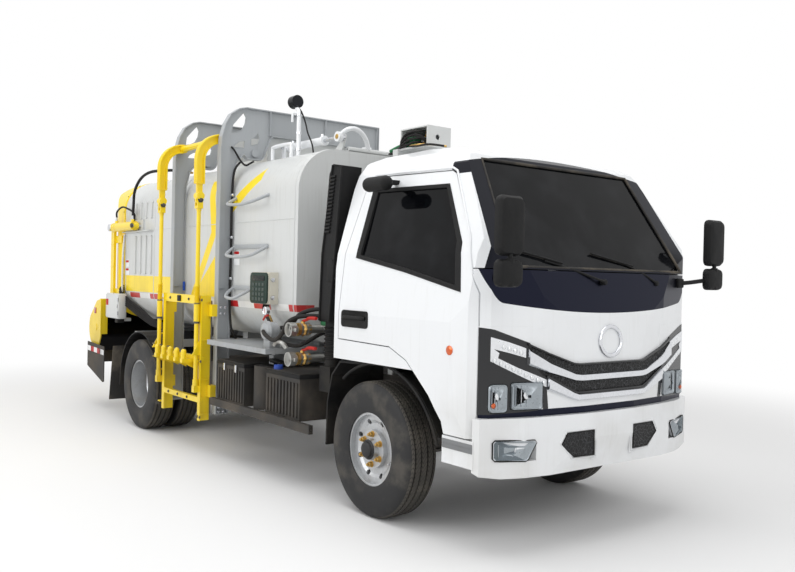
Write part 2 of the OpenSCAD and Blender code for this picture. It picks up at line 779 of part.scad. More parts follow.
module lifter_arm(x, out) {
    difference() {
        along_x(-x - arm_w / 2, -x + arm_w / 2) arm_outline(0);
        for (k = side_sign) along_x(-x + (k < 0 ? -arm_w / 2 - 1 : 7), -x + (k < 0 ? -7 : arm_w / 2 + 1)) arm_outline(9);
    }
    bar_x(-rod_y, clevis_z, -x - lug_t / 2, -x + lug_t / 2, 30);
    span([-x - lug_t / 2, -rod_y - 22, clevis_z], [-x + lug_t / 2, -rod_y + 22, clevis_z + lug_len + 5]);
    bar_x(-arm_bend_y, arm_tip_z, -x - arm_w / 2, -x + arm_w / 2, 34);
    roller_end = -x + out * (post_pitch - arm_pitch) / 2 - out * (6 + seat_gap);
    bar_x(-arm_bend_y, arm_tip_z, min(-x, roller_end), max(-x, roller_end), 20);
}

module lifter_arms() {
    color("gold") at_axle() union() {
        lifter_arm(arm_front, 1);
        lifter_arm(arm_rear, -1);
        bar_x(-arm_bend_y, arm_tip_z, -arm_rear, -arm_front, 25);
    }
}

pin_z = 490;

module lifter_rods() {
    color("gold") at_axle() for (x = [arm_front, arm_rear]) union() {
        translate([-x, -rod_y, pin_z + 25 + seat_gap]) cylinder(h = clevis_z - pin_z - 90, r = 16);
        span([-x - lug_t / 2 - fork_gap - 12, -rod_y - 22, clevis_z - 66], [-x + lug_t / 2 + fork_gap + 12, -rod_y + 22, clevis_z - 46]);
        for (k = side_sign) translate([-x + k * (lug_t / 2 + fork_gap + 6) - 6, -rod_y - 22, clevis_z - 50]) cube([12, 44, 66]);
        translate([-x, -rod_y, 1000]) cylinder(h = 130, r = 22);
        translate([-x, -rod_y, pin_z + 25 + seat_gap]) cylinder(h = 46, r = 21);
    }
}

chan_in = post_out + 20;
chan_out = rod_y - 22;
chan_front = arm_front - 15;
chan_rear = arm_rear - 45;

module lifter_carriage() {
    color("gold") at_axle() union() {
        for (x = [chan_front, chan_rear]) {
            span([-x - 8, -chan_out, 250], [-x + 8, -chan_in, 1195]);
            span([-x - 22, -chan_out, 250], [-x + 22, -chan_out + 8, 1195]);
        }
        for (z = [[1130, 1195], [685, 735], [385, 425]]) span([-chan_rear - 22, -chan_out, z[0]], [-chan_front + 22, -chan_out + 30, z[1]]);
        for (i = [0 : 4]) {
            x = -chan_rear + 90 + i * (chan_rear - chan_front - 180) / 4;
            span([x - 20, -half_width, 685], [x + 20, -chan_out + 2, 715]);
            translate([x, -half_width + 20, 715]) cylinder(h = 55, r = 20);
            translate([x, -half_width + 20, 770]) sphere(r = 20, $fn = 32);
        }
        for (x = [arm_front, arm_rear]) span([-x - 20, -rod_y - 20, pin_z - 25], [-x + 20, -chan_out + 10, pin_z + 25]);
        span([-arm_rear - 20, -chan_out, pin_z - 25], [-chan_rear, -chan_out + 20, pin_z + 25]);
        for (z = [430, 1040]) {
            span([-chan_front - 8, -chan_in - 24, z], [-post_front + post_t / 2 - 4, -post_out - seat_gap, z + 90]);
            span([-post_rear - post_t / 2 + 4, -chan_in - 24, z], [-chan_rear + 8, -post_out - seat_gap, z + 90]);
        }
    }
}

// ---- Rear ----

module gate_side(t) {
    offset(delta = -t) polygon(concat([[-tank_back - 4, tank_z + 2], [-tank_back - 4, tank_top - 2]],
        arc(-tank_back - 120, tank_top - 322, 320, 90, 180, 8), arc(-tank_back - 170, tank_z + 272, 270, 180, 270, 8)));
}

module gate_body(t) {
    intersection() {
        along_y(-1000, 1000) gate_side(t);
        along_x(-tank_back - 600, -tank_back - 4) tank_section(-t);
        linear_extrude(2600) offset(delta = -t) polygon(concat([[-tank_back + 20, -tank_half], [-tank_back + 20, tank_half]],
            arc(-tank_back - 180, tank_half - 260, 260, 90, 180, 6), arc(-tank_back - 180, -tank_half + 260, 260, 180, 270, 6)));
    }
}

gutter_x = -tank_back - 400;

module rear_door() {
    arm_y = gate_cyl_y - 21;
    color("gold") at_axle() difference() {
        union() {
            difference() {
                gate_body(0);
                translate([50, 0, 0]) gate_body(45);
            }
            for (s = side_sign) {
                bar_y(gate_pivot_x, gate_pivot_z, s * 350 - 38, s * 350 + 38, 24);
                along_y(s * 350 - 30, s * 350 + 30) polygon([[gate_pivot_x - 22, gate_pivot_z], [gate_pivot_x + 5, gate_pivot_z - 20],
                    [gate_pivot_x - 20, tank_top - 20], [gate_pivot_x - 90, tank_top - 20]]);
                span([gate_eye_x - 40, min(s * (arm_y - 26), s * (arm_y - 1)), 1060],
                     [gate_eye_x + 40, max(s * (arm_y - 26), s * (arm_y - 1)), gate_cyl_z + 45]);
                for (z = [1120, 1640]) span([gate_eye_x - 30, min(s * (tank_half - 60), s * (arm_y - 20)), z],
                     [gate_eye_x + 200, max(s * (tank_half - 60), s * (arm_y - 20)), z + 70]);
            }
        }
        for (s = side_sign) bar_y(gate_pivot_x, gate_pivot_z, s * 350 - 60, s * 350 + 60, gate_pin_r + run_gap);
    }
}

gutter_r = 210;
gutter_wall = 12;

module drip_gutter() {
    half = tank_half + 115;
    cx = -rear_end + gutter_r;
    color("gold") at_axle() difference() {
        along_y(-half, half) polygon(concat([[gutter_x + 60, 1080], [gutter_x - 60, 1060]], arc(cx, 790, gutter_r, 150, 240, 10),
            [[gutter_x - 20, 560], [gutter_x + 60, 700]]));
        along_y(-half + gutter_wall, half - gutter_wall) polygon(concat([[gutter_x + 80, 1066], [gutter_x - 54, 1046]],
            arc(cx, 790, gutter_r - gutter_wall, 150, 240, 10), [[gutter_x - 26, 578], [gutter_x + 80, 764]]));
        gate_body(-seat_gap);
    }
}

// Cylinder barrel along -X from its pin: length, radius, pin radius, half width of its eye
module barrel_shape(len, r, pin, half, rod) {
    difference() {
        union() {
            rotate([0, -90, 0]) translate([0, 0, pin + 8]) cylinder(h = len - pin - 8, r = r);
            rotate([90, 0, 0]) translate([0, 0, -half]) cylinder(h = 2 * half, r = pin + 16);
        }
        rotate([90, 0, 0]) translate([0, 0, -half - 1]) cylinder(h = 2 * half + 2, r = pin + run_gap);
        rotate([0, -90, 0]) translate([0, 0, pin + 40]) cylinder(h = len, r = rod + run_gap);
    }
}

// Rod along -X that reaches an eye at the given distance
module rod_shape(start, eye, r, half) {
    rotate([0, -90, 0]) translate([0, 0, start]) cylinder(h = eye - start - 10, r = r);
    rotate([90, 0, 0]) translate([-0, 0, 0]) translate([-eye, 0, -half]) cylinder(h = 2 * half, r = r + 14);
}

module gate_barrel(s) {
    color("gold") at_axle() translate([gate_barrel_x, s * gate_cyl_y, gate_cyl_z]) barrel_shape(560, 42, gate_pin_r, 22, 20);
}
module gate_rod(s) {
    color("silver") at_axle() translate([gate_barrel_x, s * gate_cyl_y, gate_cyl_z])
        rod_shape(70, gate_barrel_x - gate_eye_x, 20, 20);
}
module gate_barrel_right() { gate_barrel(-1); }
module gate_barrel_left() { gate_barrel(1); }
module gate_rod_right() { gate_rod(-1); }
module gate_rod_left() { gate_rod(1); }

hatch_x = -1100;
hatch_z = tank_top + 30;
hatch_cyl_y = -343;
hatch_eye = [-1120, tank_top + 110];
hatch_pin_x = -1860;

module hatch_lid() {
    color("#9ea3a3") at_axle() difference() {
        union() {
            span([-1500, -300, tank_top + seat_gap], [-1115, 110, tank_top + 34]);
            bar_y(hatch_x, hatch_z, -300, 110, 16);
            span([-1130, -300, tank_top + 14], [hatch_x, 110, tank_top + 34]);
            along_y(hatch_cyl_y + 16, hatch_cyl_y + 28) polygon(concat(arc(hatch_eye[0], hatch_eye[1], 24, 0, 180, 8),
                [[-1170, tank_top + 76], [-1230, tank_top + 30], [-1250, tank_top + 2], [-1150, tank_top + 2], [-1112, tank_top + 70]]));
            span([-1250, hatch_cyl_y + 16, tank_top + 2], [-1150, -290, tank_top + 30]);
        }
    }
}

module hatch_barrel() {
    color("white") at_axle() difference() {
        translate([hatch_pin_x, hatch_cyl_y, hatch_eye[1]]) rotate([0, 0, 180]) barrel_shape(520, 30, 10, 16, 14);
    }
}

module hatch_rod() {
    color("silver") at_axle() translate([hatch_pin_x, hatch_cyl_y, hatch_eye[1]]) rotate([0, 0, 180])
        rod_shape(70, hatch_eye[0] - hatch_pin_x, 14, 14);
}

mast_y = -428;

module work_lamp() {
    color("#e8e8e6") at_axle() union() {
        bar_y(hatch_pin_x, hatch_eye[1], hatch_cyl_y - 46, hatch_cyl_y + 46, 10);
        for (k = side_sign) span([hatch_pin_x - 26, hatch_cyl_y + k * 40 - 6, tank_top], [hatch_pin_x + 26, hatch_cyl_y + k * 40 + 6, hatch_eye[1] + 24]);
        span([hatch_pin_x - 60, mast_y - 16, tank_top], [-1530, hatch_cyl_y + 50, tank_top + 12]);
        translate([-1570, mast_y, tank_top]) cylinder(h = 340, r = 17);
        hull() for (p = [[-1570, mast_y, tank_top + 340], [-1620, mast_y, tank_top + 400]]) translate(p) sphere(r = 17, $fn = 24);
        bar_x(mast_y, tank_top + 420, -1660, -1590, 48);
    }
}

// ---- Body fittings ----

plat_top = 870;
plat_out = 930;

module platform() {
    color("#8d9190") at_axle() union() {
        linear_between(plat_top - 35, plat_top) polygon([[-post_front + post_t / 2 + 1, -plat_out], [-1093, -plat_out], [-1093, -620], [-1093, -420],
            [-post_front + post_t / 2 + 1, -420]]);
        span([-1340 - 25, -730, sub_top], [-1340 + 25, -430, plat_top - 30]);
    }
}

module linear_between(z0, z1) { translate([0, 0, z0]) linear_extrude(z1 - z0) children(); }

module side_boxes() {
    top = rail_top - 8;
    color("#1e2022") at_axle() union() {
        span([-1900, -880, 430], [-1480, -rail_out, top]);
        translate([-1360, -760, 430]) cylinder(h = 300, r = 95);
        span([-1440, -700, 480], [-1280, -rail_out, 700]);
        span([-1200, -860, 430], [-760, -rail_out, top]);
        span([-1960, -910, 385], [-560, -880, 440]);
        for (x = [-1700, -980]) span([x, -900, 400], [x + 40, -700, 440]);
    }
    color("#6c7073") at_axle() union() {
        span([-1900, rail_out, 400], [-1000, 860, 720]);
        span([-1960, 880, 385], [-560, 910, 440]);
        for (x = [-1700, -1100]) span([x, 700, 400], [x + 40, 900, 440]);
    }
}

module discharge_pipes() {
    x = -800;
    color("#b9bcbc") at_axle() union() {
        for (z = [1019, 830]) {
            bar_y(x, z, -930, -330, 27);
            bar_y(x, z, -930, -890, 46);
            bar_y(x, z, -850, -780, 40);
        }
        translate([x, -330, 800]) cylinder(h = 246, r = 27);
        bar_x(-330, 1019, -tank_front, x, 27);
        bar_x(-330, 1019, -tank_front, -tank_front + 14, 60);
        translate([x, -345, rail_top]) cylinder(h = 90, r = 20);
    }
}

module control_box() {
    color("#203430") at_axle() union() {
        span([-1515, -tank_half - 66, 1160], [-1265, -tank_half, 1382]);
        span([-1509, -tank_half - 78, 1166], [-1271, -tank_half, 1376]);
    }
}

// Foot loop on the tank's side
module foot_loop(x0, x1, z) {
    linear_between(z - 22, z + 22) difference() {
        polygon([[x0, -tank_half + 60], [x0, -tank_half - 12], [x0 + 70, -tank_half - 110], [x1 - 90, -tank_half - 110], [x1, -tank_half - 12], [x1, -tank_half + 60]]);
        polygon([[x0 + 25, -tank_half - 12], [x0 + 80, -tank_half - 88], [x1 - 100, -tank_half - 88], [x1 - 35, -tank_half - 12]]);
    }
}

module tank_steps() {
    color("#5d6466") at_axle() difference() {
        union() {
            foot_loop(-1940, -1424, 1930);
            foot_loop(-1940, -1424, 1550);
            foot_loop(-1940, -1640, 1245);
        }
        along_x(-2200, -1200) tank_section(seat_gap);
    }
}

module roof_box() {
    color("#9a9e9d") at_axle() union() {
        for (s = side_sign) span([-480, s * 345 - 25, rail_top], [-430, s * 345 + 25, 2180]);
        span([-480, -370, 2140], [-430, 370, 2190]);
        span([-480, -360, 2180], [-145, -170, 2192]);
        span([-415, -178, 2190], [-145, -170, 2312]);
        span([-415, -360, 2190], [-407, -170, 2312]);
        span([-415, -360, 2304], [-145, -170, 2312]);
        difference() {
            span([-153, -360, 2190], [-145, -170, 2312]);
            bar_x(-277, 2244, -170, -130, 17);
        }
    }
}

module rear_fenders() {
    color("#1b1c1e") at_axle() for (s = side_sign) union() {
        along_y(min(s * 500, s * 955), max(s * 500, s * 955)) polygon(concat(
            arc(-wheelbase, hub_z, 455, 50, 175, 12), [[-wheelbase - 458, 330], [-wheelbase - 448, 330]], arc(-wheelbase, hub_z, 445, 175, 50, 12)));
        span([-wheelbase - 20, min(s * rail_out, s * 510), rail_top + 10], [-wheelbase + 20, max(s * rail_out, s * 510), hub_z + 450]);
    }
}

module underrun() {
    color("#1d1f21") at_axle() union() {
        span([-4880, -890, 430], [-4810, 890, 550]);
        for (s = side_sign) {
            along_y(min(s * 882, s * 890), max(s * 882, s * 890))
                polygon([[-4900, 640], [-4400, 620], [-4400, 280], [-4430, 270], [-4900, 395]]);
            span([-4820, s * 330 - 30, 440], [-4400, s * 330 + 30, 520]);
            span([-4480, s * 330 - 30, 440], [-4400, s * 330 + 30, rail_top - 10]);
        }
    }
}

frame_rails();
subframe();
front_axle();
rear_axle();
springs();
engine_block();
knuckle_right();
knuckle_left();
rim_front_right();
rim_front_left();
tyre_front_right();
tyre_front_left();
rims_rear_right();
rims_rear_left();
tyres_rear_right();
tyres_rear_left();
cab_shell();
front_panel();
bumper();
headlights();
windscreen();
cab_floor();
dashboard();
seats();
steering_wheel();
door_right();
door_left();
glass_right();
glass_left();
mirrors();
kerb_mirror();
arch_liners();
air_intake();
tank();
platform();
side_boxes();
discharge_pipes();
control_box();
tank_steps();
roof_box();
rear_fenders();
underrun();
lift_frame_front();
lift_frame_rear();
hopper();
lifter_arms();
lifter_rods();
lifter_carriage();
rear_door();
drip_gutter();
gate_barrel_right();
gate_rod_right();
gate_barrel_left();
gate_rod_left();
hatch_lid();
hatch_barrel();
hatch_rod();
work_lamp();
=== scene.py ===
import json
import math
import bpy
import bmesh
from mathutils import Matrix, Vector


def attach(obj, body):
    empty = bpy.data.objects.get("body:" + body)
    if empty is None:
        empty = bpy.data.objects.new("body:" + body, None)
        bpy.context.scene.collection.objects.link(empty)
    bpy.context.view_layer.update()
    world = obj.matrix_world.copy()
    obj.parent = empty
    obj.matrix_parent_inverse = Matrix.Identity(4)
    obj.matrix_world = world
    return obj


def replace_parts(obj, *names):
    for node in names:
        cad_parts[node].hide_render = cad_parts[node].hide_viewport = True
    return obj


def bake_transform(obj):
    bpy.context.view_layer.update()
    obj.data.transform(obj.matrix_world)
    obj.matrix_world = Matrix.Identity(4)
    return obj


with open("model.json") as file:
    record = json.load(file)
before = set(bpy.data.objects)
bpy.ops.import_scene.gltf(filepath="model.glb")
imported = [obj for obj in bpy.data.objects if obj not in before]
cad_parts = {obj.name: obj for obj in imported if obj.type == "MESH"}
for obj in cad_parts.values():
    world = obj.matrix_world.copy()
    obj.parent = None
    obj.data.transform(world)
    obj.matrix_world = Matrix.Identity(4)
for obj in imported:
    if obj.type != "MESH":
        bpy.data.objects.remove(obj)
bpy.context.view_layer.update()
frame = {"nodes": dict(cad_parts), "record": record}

axleX = 1.910       # the front axle along the frame, in metres
nodes = frame["nodes"]
print("frame loaded,", len(nodes), "nodes")

# camera and light

view = {"place": (5.793, -3.666, 1.372), "yaw": 142.40722, "pitch": -0.62841, "roll": 1.34772,
        "lens": 38.29}
studio = {"topPower": 330, "frontPower": 130, "sidePower": 230, "sky": 0.58,
          "floorTone": (0.86, 0.86, 0.86)}


def aimCamera():
    yaw, pitch, roll = (math.radians(view[k]) for k in ("yaw", "pitch", "roll"))
    ahead = Vector((math.cos(pitch) * math.cos(yaw), math.cos(pitch) * math.sin(yaw), math.sin(pitch)))
    side = ahead.cross(Vector((0, 0, 1))).normalized()
    top = side.cross(ahead)
    right = side * math.cos(roll) + top * math.sin(roll)
    up = top * math.cos(roll) - side * math.sin(roll)
    camData = bpy.data.cameras.new("camera")
    camData.lens = view["lens"]
    camData.sensor_width = 36
    camData.clip_start, camData.clip_end = 0.05, 200
    cam = bpy.data.objects.new("camera", camData)
    cam.matrix_world = Matrix.Translation(view["place"]) @ Matrix((right, up, -ahead)).transposed().to_4x4()
    bpy.context.scene.collection.objects.link(cam)
    bpy.context.scene.camera = cam


def areaLamp(name, place, target, size, power):
    lampData = bpy.data.lights.new(name, "AREA")
    lampData.shape = "RECTANGLE"
    lampData.size, lampData.size_y = size
    lampData.energy = power
    lamp = bpy.data.objects.new(name, lampData)
    lamp.location = place
    lamp.rotation_mode = "QUATERNION"
    lamp.rotation_quaternion = (Vector(target) - Vector(place)).to_track_quat("-Z", "Y")
    bpy.context.scene.collection.objects.link(lamp)


aimCamera()
areaLamp("topLight", (0.5, -1.5, 8.0), (0, 0, 1), (9, 6), studio["topPower"])
areaLamp("frontLight", (8.5, -2.5, 4.5), (1.5, 0, 1.2), (5, 4), studio["frontPower"])
areaLamp("sideLight", (-1.0, -8.5, 3.6), (-0.5, 0, 1.2), (7, 4), studio["sidePower"])

# shader maths: a Flow is a value or colour on its way between nodes


class Flow:
    def __init__(self, finish, socket):
        self.finish = finish
        self.socket = socket

    def maths(self, operation, first, second=0.0, third=0.0):
        return self.finish.add("ShaderNodeMath", {"operation": operation}, {0: first, 1: second, 2: third})

    def __add__(self, other):
        return self.maths("ADD", self, other)

    def __sub__(self, other):
        return self.maths("SUBTRACT", self, other)

    def __rsub__(self, other):
        return self.maths("SUBTRACT", other, self)

    def __mul__(self, other):
        return self.maths("MULTIPLY", self, other)

    def __truediv__(self, other):
        return self.maths("DIVIDE", self, other)

    def __gt__(self, other):
        return self.maths("GREATER_THAN", self, other)

    def __lt__(self, other):
        return self.maths("LESS_THAN", self, other)

    def __abs__(self):
        return self.maths("ABSOLUTE", self)

    __radd__ = __add__
    __rmul__ = __mul__

    def ease(self, low, high, start=0.0, end=1.0):
        span = {"From Min": low, "From Max": high, "To Min": start, "To Max": end, "Value": self}
        return self.finish.add("ShaderNodeMapRange", {"interpolation_type": "SMOOTHSTEP"}, span)

    def repeat(self, period):
        return self.maths("PINGPONG", self, period / 2)


class Finish:
    def __init__(self, name, **steady):
        self.material = bpy.data.materials.new(name)
        self.material.use_nodes = True
        self.tree = self.material.node_tree
        self.tree.nodes.clear()
        self.shader = self.tree.nodes.new("ShaderNodeBsdfPrincipled")
        end = self.tree.nodes.new("ShaderNodeOutputMaterial")
        self.tree.links.new(self.shader.outputs[0], end.inputs[0])
        self.end = end
        for key, value in steady.items():
            self.shader.inputs[key.replace("_", " ")].default_value = value
        self.place = self.add("ShaderNodeTexCoord", output="Object")
        axes = self.add("ShaderNodeSeparateXYZ", inputs={0: self.place}, whole=True)
        self.x, self.y, self.z = (Flow(self, axes.outputs[i]) for i in range(3))

    def add(self, kind, settings=None, inputs=None, output=0, whole=False):
        node = self.tree.nodes.new(kind)
        for key, value in (settings or {}).items():
            if key == "stops":
                while len(node.color_ramp.elements) < len(value):
                    node.color_ramp.elements.new(0.5)
                for element, (at, colour) in zip(node.color_ramp.elements, value):
                    element.position = at
                    element.color = colour
            else:
                setattr(node, key, value)
        for key, value in (inputs or {}).items():
            if isinstance(value, Flow):
                self.tree.links.new(value.socket, node.inputs[key])
            else:
                node.inputs[key].default_value = value
        return node if whole else Flow(self, node.outputs[output])

    def noise(self, scale, detail=3.0, stretch=None, roughness=0.55):
        at = self.place
        if stretch:
            at = self.add("ShaderNodeMapping", inputs={"Vector": at, "Scale": stretch})
        return self.add("ShaderNodeTexNoise", inputs={"Vector": at, "Scale": scale, "Detail": detail,
                                                      "Roughness": roughness})

    def cells(self, scale, stretch=None, feature="F1"):
        at = self.place
        if stretch:
            at = self.add("ShaderNodeMapping", inputs={"Vector": at, "Scale": stretch})
        return self.add("ShaderNodeTexVoronoi", {"feature": feature}, {"Vector": at, "Scale": scale})

    def mix(self, factor, first, second):
        first, second = (c if isinstance(c, Flow) else (*c[:3], 1) for c in (first, second))
        return self.add("ShaderNodeMix", {"data_type": "RGBA"}, {0: factor, 6: first, 7: second}, output=2)

    def blend(self, factor, first, second):
        # two shaders, one over the other, as the finish's surface
        both = self.add("ShaderNodeMixShader", inputs={0: factor, 1: first, 2: second})
        self.tree.links.new(both.socket, self.end.inputs[0])

    def out(self, colour=None, roughness=None, metallic=None, bump=None, depth=0.001, **more):
        for key, value in {"Base Color": colour, "Roughness": roughness, "Metallic": metallic,
                           **more}.items():
            if value is None:
                continue
            socket = self.shader.inputs[key.replace("_", " ")]
            if isinstance(value, Flow):
                self.tree.links.new(value.socket, socket)
            elif isinstance(value, tuple):
                socket.default_value = (*value[:3], 1)
            else:
                socket.default_value = value
        if bump is not None:
            lift = self.add("ShaderNodeBump", inputs={"Height": bump, "Distance": depth, "Strength": 1.0})
            self.tree.links.new(lift.socket, self.shader.inputs["Normal"])
        return self.material


def rgb(red, green, blue):
    # a screen colour, 0 to 255, as the linear colour that a shader takes
    return tuple((c / 3294.6 if c <= 10 else ((c / 255 + 0.055) / 1.055) ** 2.4)
                 for c in (red, green, blue))


# coats: tone, dust tone, how much dust low down, roughness, coat, orange peel
coats = { "paintWhite": dict(tone=(236, 238, 240), dust=(176, 172, 162), load=0.35, rough=0.26, coat=0.55,
        peel=0.00006), "paintYellow": dict(tone=(246, 214, 14), dust=(150, 128, 60), load=0.55, rough=0.34,
        coat=0.35, peel=0.00010), "paintGrey": dict(tone=(208, 210, 209), dust=(138, 132, 118), load=0.5,
        rough=0.36, coat=0.25, peel=0.00012), "paintMidGrey": dict(tone=(166, 170, 173),
        dust=(112, 104, 92), load=0.6, rough=0.42, coat=0.15, peel=0.00012),
         "chassisBlack": dict(tone=(16, 17, 18), dust=(98, 90, 80), load=0.75, rough=0.55, coat=0.0,
        peel=0.0003), "panelBlack": dict(tone=(14, 15, 19), dust=(70, 70, 70), load=0.15, rough=0.2,
        coat=0.1, peel=0.00003), }


def coatFinish(name, spec, mask=None, second=(12, 14, 20)):
    f = Finish(name, Coat_Roughness=0.08, Coat_Weight=spec["coat"], Specular_IOR_Level=0.5)
    low = f.z.ease(1.35, 0.25)
    patches = f.noise(2.3, 5.0).ease(0.42, 0.68)
    runs = f.noise(5.0, 4.0, (9.0, 9.0, 0.55)).ease(0.52, 0.78)
    grime = low * patches * 0.8 + runs * 0.22 + low * 0.18
    tone = rgb(*spec["tone"])
    shade = f.mix(f.noise(0.9, 2.0), tone, tuple(c * 0.93 for c in tone))
    colour = f.mix(grime * spec["load"], shade, rgb(*spec["dust"]))
    metallic = None
    more = {}
    if mask:
        dark = mask(f)
        colour = f.mix(dark, colour, rgb(*second))
        metallic = dark * 0.9
        more["Coat_Weight"] = dark * -spec["coat"] + spec["coat"]
    fine = f.noise(420, 2.0)
    rough = grime * (spec["load"] * 0.5) + fine * 0.05 + spec["rough"]
    return f.out(colour, rough, metallic, bump=f.noise(160, 2.0), depth=spec["peel"], **more)


def mouldedFinish(name, tone, dust, rough=0.5):
    # grained moulding, as on steps, fenders and mirror backs
    f = Finish(name, Specular_IOR_Level=0.18)
    low = f.z.ease(1.3, 0.2)
    grime = low * f.noise(4.0, 5.0).ease(0.40, 0.70)
    colour = f.mix(grime * 0.6 + f.noise(30, 3.0) * 0.12, rgb(*tone), rgb(*dust))
    return f.out(colour, grime * 0.25 + f.noise(200, 2.0) * 0.12 + rough, bump=f.cells(520), depth=0.0004)


def metalFinish(name, tone, rough, stretch=None, stain=(120, 104, 84), metallic=1.0, load=0.4):
    f = Finish(name)
    streak = f.noise(90, 3.0, stretch or (1, 1, 1))
    patches = f.noise(7.0, 5.0).ease(0.50, 0.75)
    base = rgb(*tone)
    colour = f.mix(streak, base, tuple(c * 0.78 for c in base))
    colour = f.mix(patches * load, colour, rgb(*stain))
    return f.out(colour, streak * 0.16 + patches * 0.25 * load + rough, metallic - patches * load * 0.7,
                 bump=streak, depth=0.0003)


def rubberFinish(name):
    f = Finish(name, Specular_IOR_Level=0.35)
    dusty = f.noise(5.5, 5.0).ease(0.42, 0.72)
    fine = f.noise(160, 3.0)
    colour = f.mix(dusty * 0.55 + fine * 0.12, rgb(30, 30, 31), rgb(112, 104, 92))
    return f.out(colour, dusty * 0.2 + fine * 0.1 + 0.62, bump=f.noise(300, 2.0), depth=0.0005)


def glassFinish(name, tone, alpha):
    f = Finish(name, IOR=1.5, Specular_IOR_Level=0.2, Coat_Weight=0.05, Coat_Roughness=0.02)
    film = f.noise(3.0, 4.0).ease(0.45, 0.75)
    clear = f.add("ShaderNodeBsdfTransparent", inputs={0: (*rgb(*tone), 1)})
    f.blend(film * 0.05 + alpha, clear, Flow(f, f.shader.outputs[0]))
    return f.out(f.mix(film, rgb(10, 11, 14), rgb(30, 31, 34)), film * 0.06 + 0.03)


def weaveFinish(name, tone):
    f = Finish(name, Sheen_Weight=0.35, Sheen_Roughness=0.5)
    warp = f.x.repeat(0.004) / 0.002
    weft = f.y.repeat(0.004) / 0.002
    thread = warp * weft
    base = rgb(*tone)
    colour = f.mix(thread * 0.6 + f.noise(12, 4.0) * 0.4, tuple(c * 0.6 for c in base),
                   tuple(c * 1.5 for c in base))
    return f.out(colour, f.noise(60, 2.0) * 0.15 + 0.78, bump=thread, depth=0.0006)


def bandAndGapShadeMask(f):
    # the dark band under the windscreen, with its curved lower edge, and painted shade in the gap over the
    # bumper
    wide = abs(f.y)
    corner = (wide - 0.72).maths("MAXIMUM", wide - 0.72, 0.0)
    edge = wide * wide * 0.094 + corner * corner * 11 + 1.205
    # below z 0.724 the panel is painted dark as the shade in the gap over the bumper
    return (f.z > edge).maths("MAXIMUM", f.z > edge, f.z < 0.724)


def screenMask(f):
    # the dark surround of the windscreen, on the cab's front only
    edge = (f.z - 1.43) * -0.19 + 0.815
    top = f.y * f.y * -0.135 + 2.055
    inside = (abs(f.y) < edge) * (f.z < top) * (f.z > 1.38)
    return inside * (f.x > axleX + 0.50)


def gutterShadeMask(f):
    # painted shade over the inside of the drip trough and its lower lip
    x, z = f.x - (axleX - 4.745), f.z - 0.79
    inner = (x * x + z * z) < 0.0416
    lip = (x > 0.05) * (f.z < 0.76)
    both = inner.maths("MAXIMUM", inner, lip)
    return both * (abs(f.y) < 0.8485)


finishes = {name: coatFinish(name, spec) for name, spec in coats.items()}
finishes["frontPaint"] = coatFinish("frontPaint", coats["paintWhite"], bandAndGapShadeMask, (30, 32, 46))
finishes["cabPaint"] = coatFinish("cabPaint", coats["paintWhite"], screenMask, (32, 33, 40))
# the gutter's trough and lower lip are painted near-black as shade
finishes["gutterPaint"] = coatFinish("gutterPaint", coats["paintYellow"], gutterShadeMask, (30, 30, 32))
finishes["mastPaint"] = coatFinish("mastPaint", coats["paintWhite"], lambda f: f.z > 2.611, (40, 41, 44))
finishes.update({
    "plasticBlack": mouldedFinish("plasticBlack", (17, 18, 20), (70, 66, 60)),
    "plasticGrey": mouldedFinish("plasticGrey", (126, 128, 130), (110, 104, 96), 0.55),
    "rimSilver": metalFinish("rimSilver", (196, 198, 200), 0.34, load=0.35, metallic=0.75),
    "steelRod": metalFinish("steelRod", (222, 224, 228), 0.12, load=0.10),
    "pipeSteel": metalFinish("pipeSteel", (176, 176, 172), 0.34, load=0.45),
    "castIron": metalFinish("castIron", (92, 90, 88), 0.5, load=0.6, metallic=0.7),
    "chrome": metalFinish("chrome", (226, 228, 232), 0.08, load=0.05),
    "brass": metalFinish("brass", (196, 160, 92), 0.30, load=0.35),
    "tyreRubber": rubberFinish("tyreRubber"),
    "cabGlass": glassFinish("cabGlass", (92, 104, 108), 0.62),
    "lampGlass": glassFinish("lampGlass", (236, 240, 242), 0.22),
    "seatCloth": weaveFinish("seatCloth", (58, 60, 64)),
})


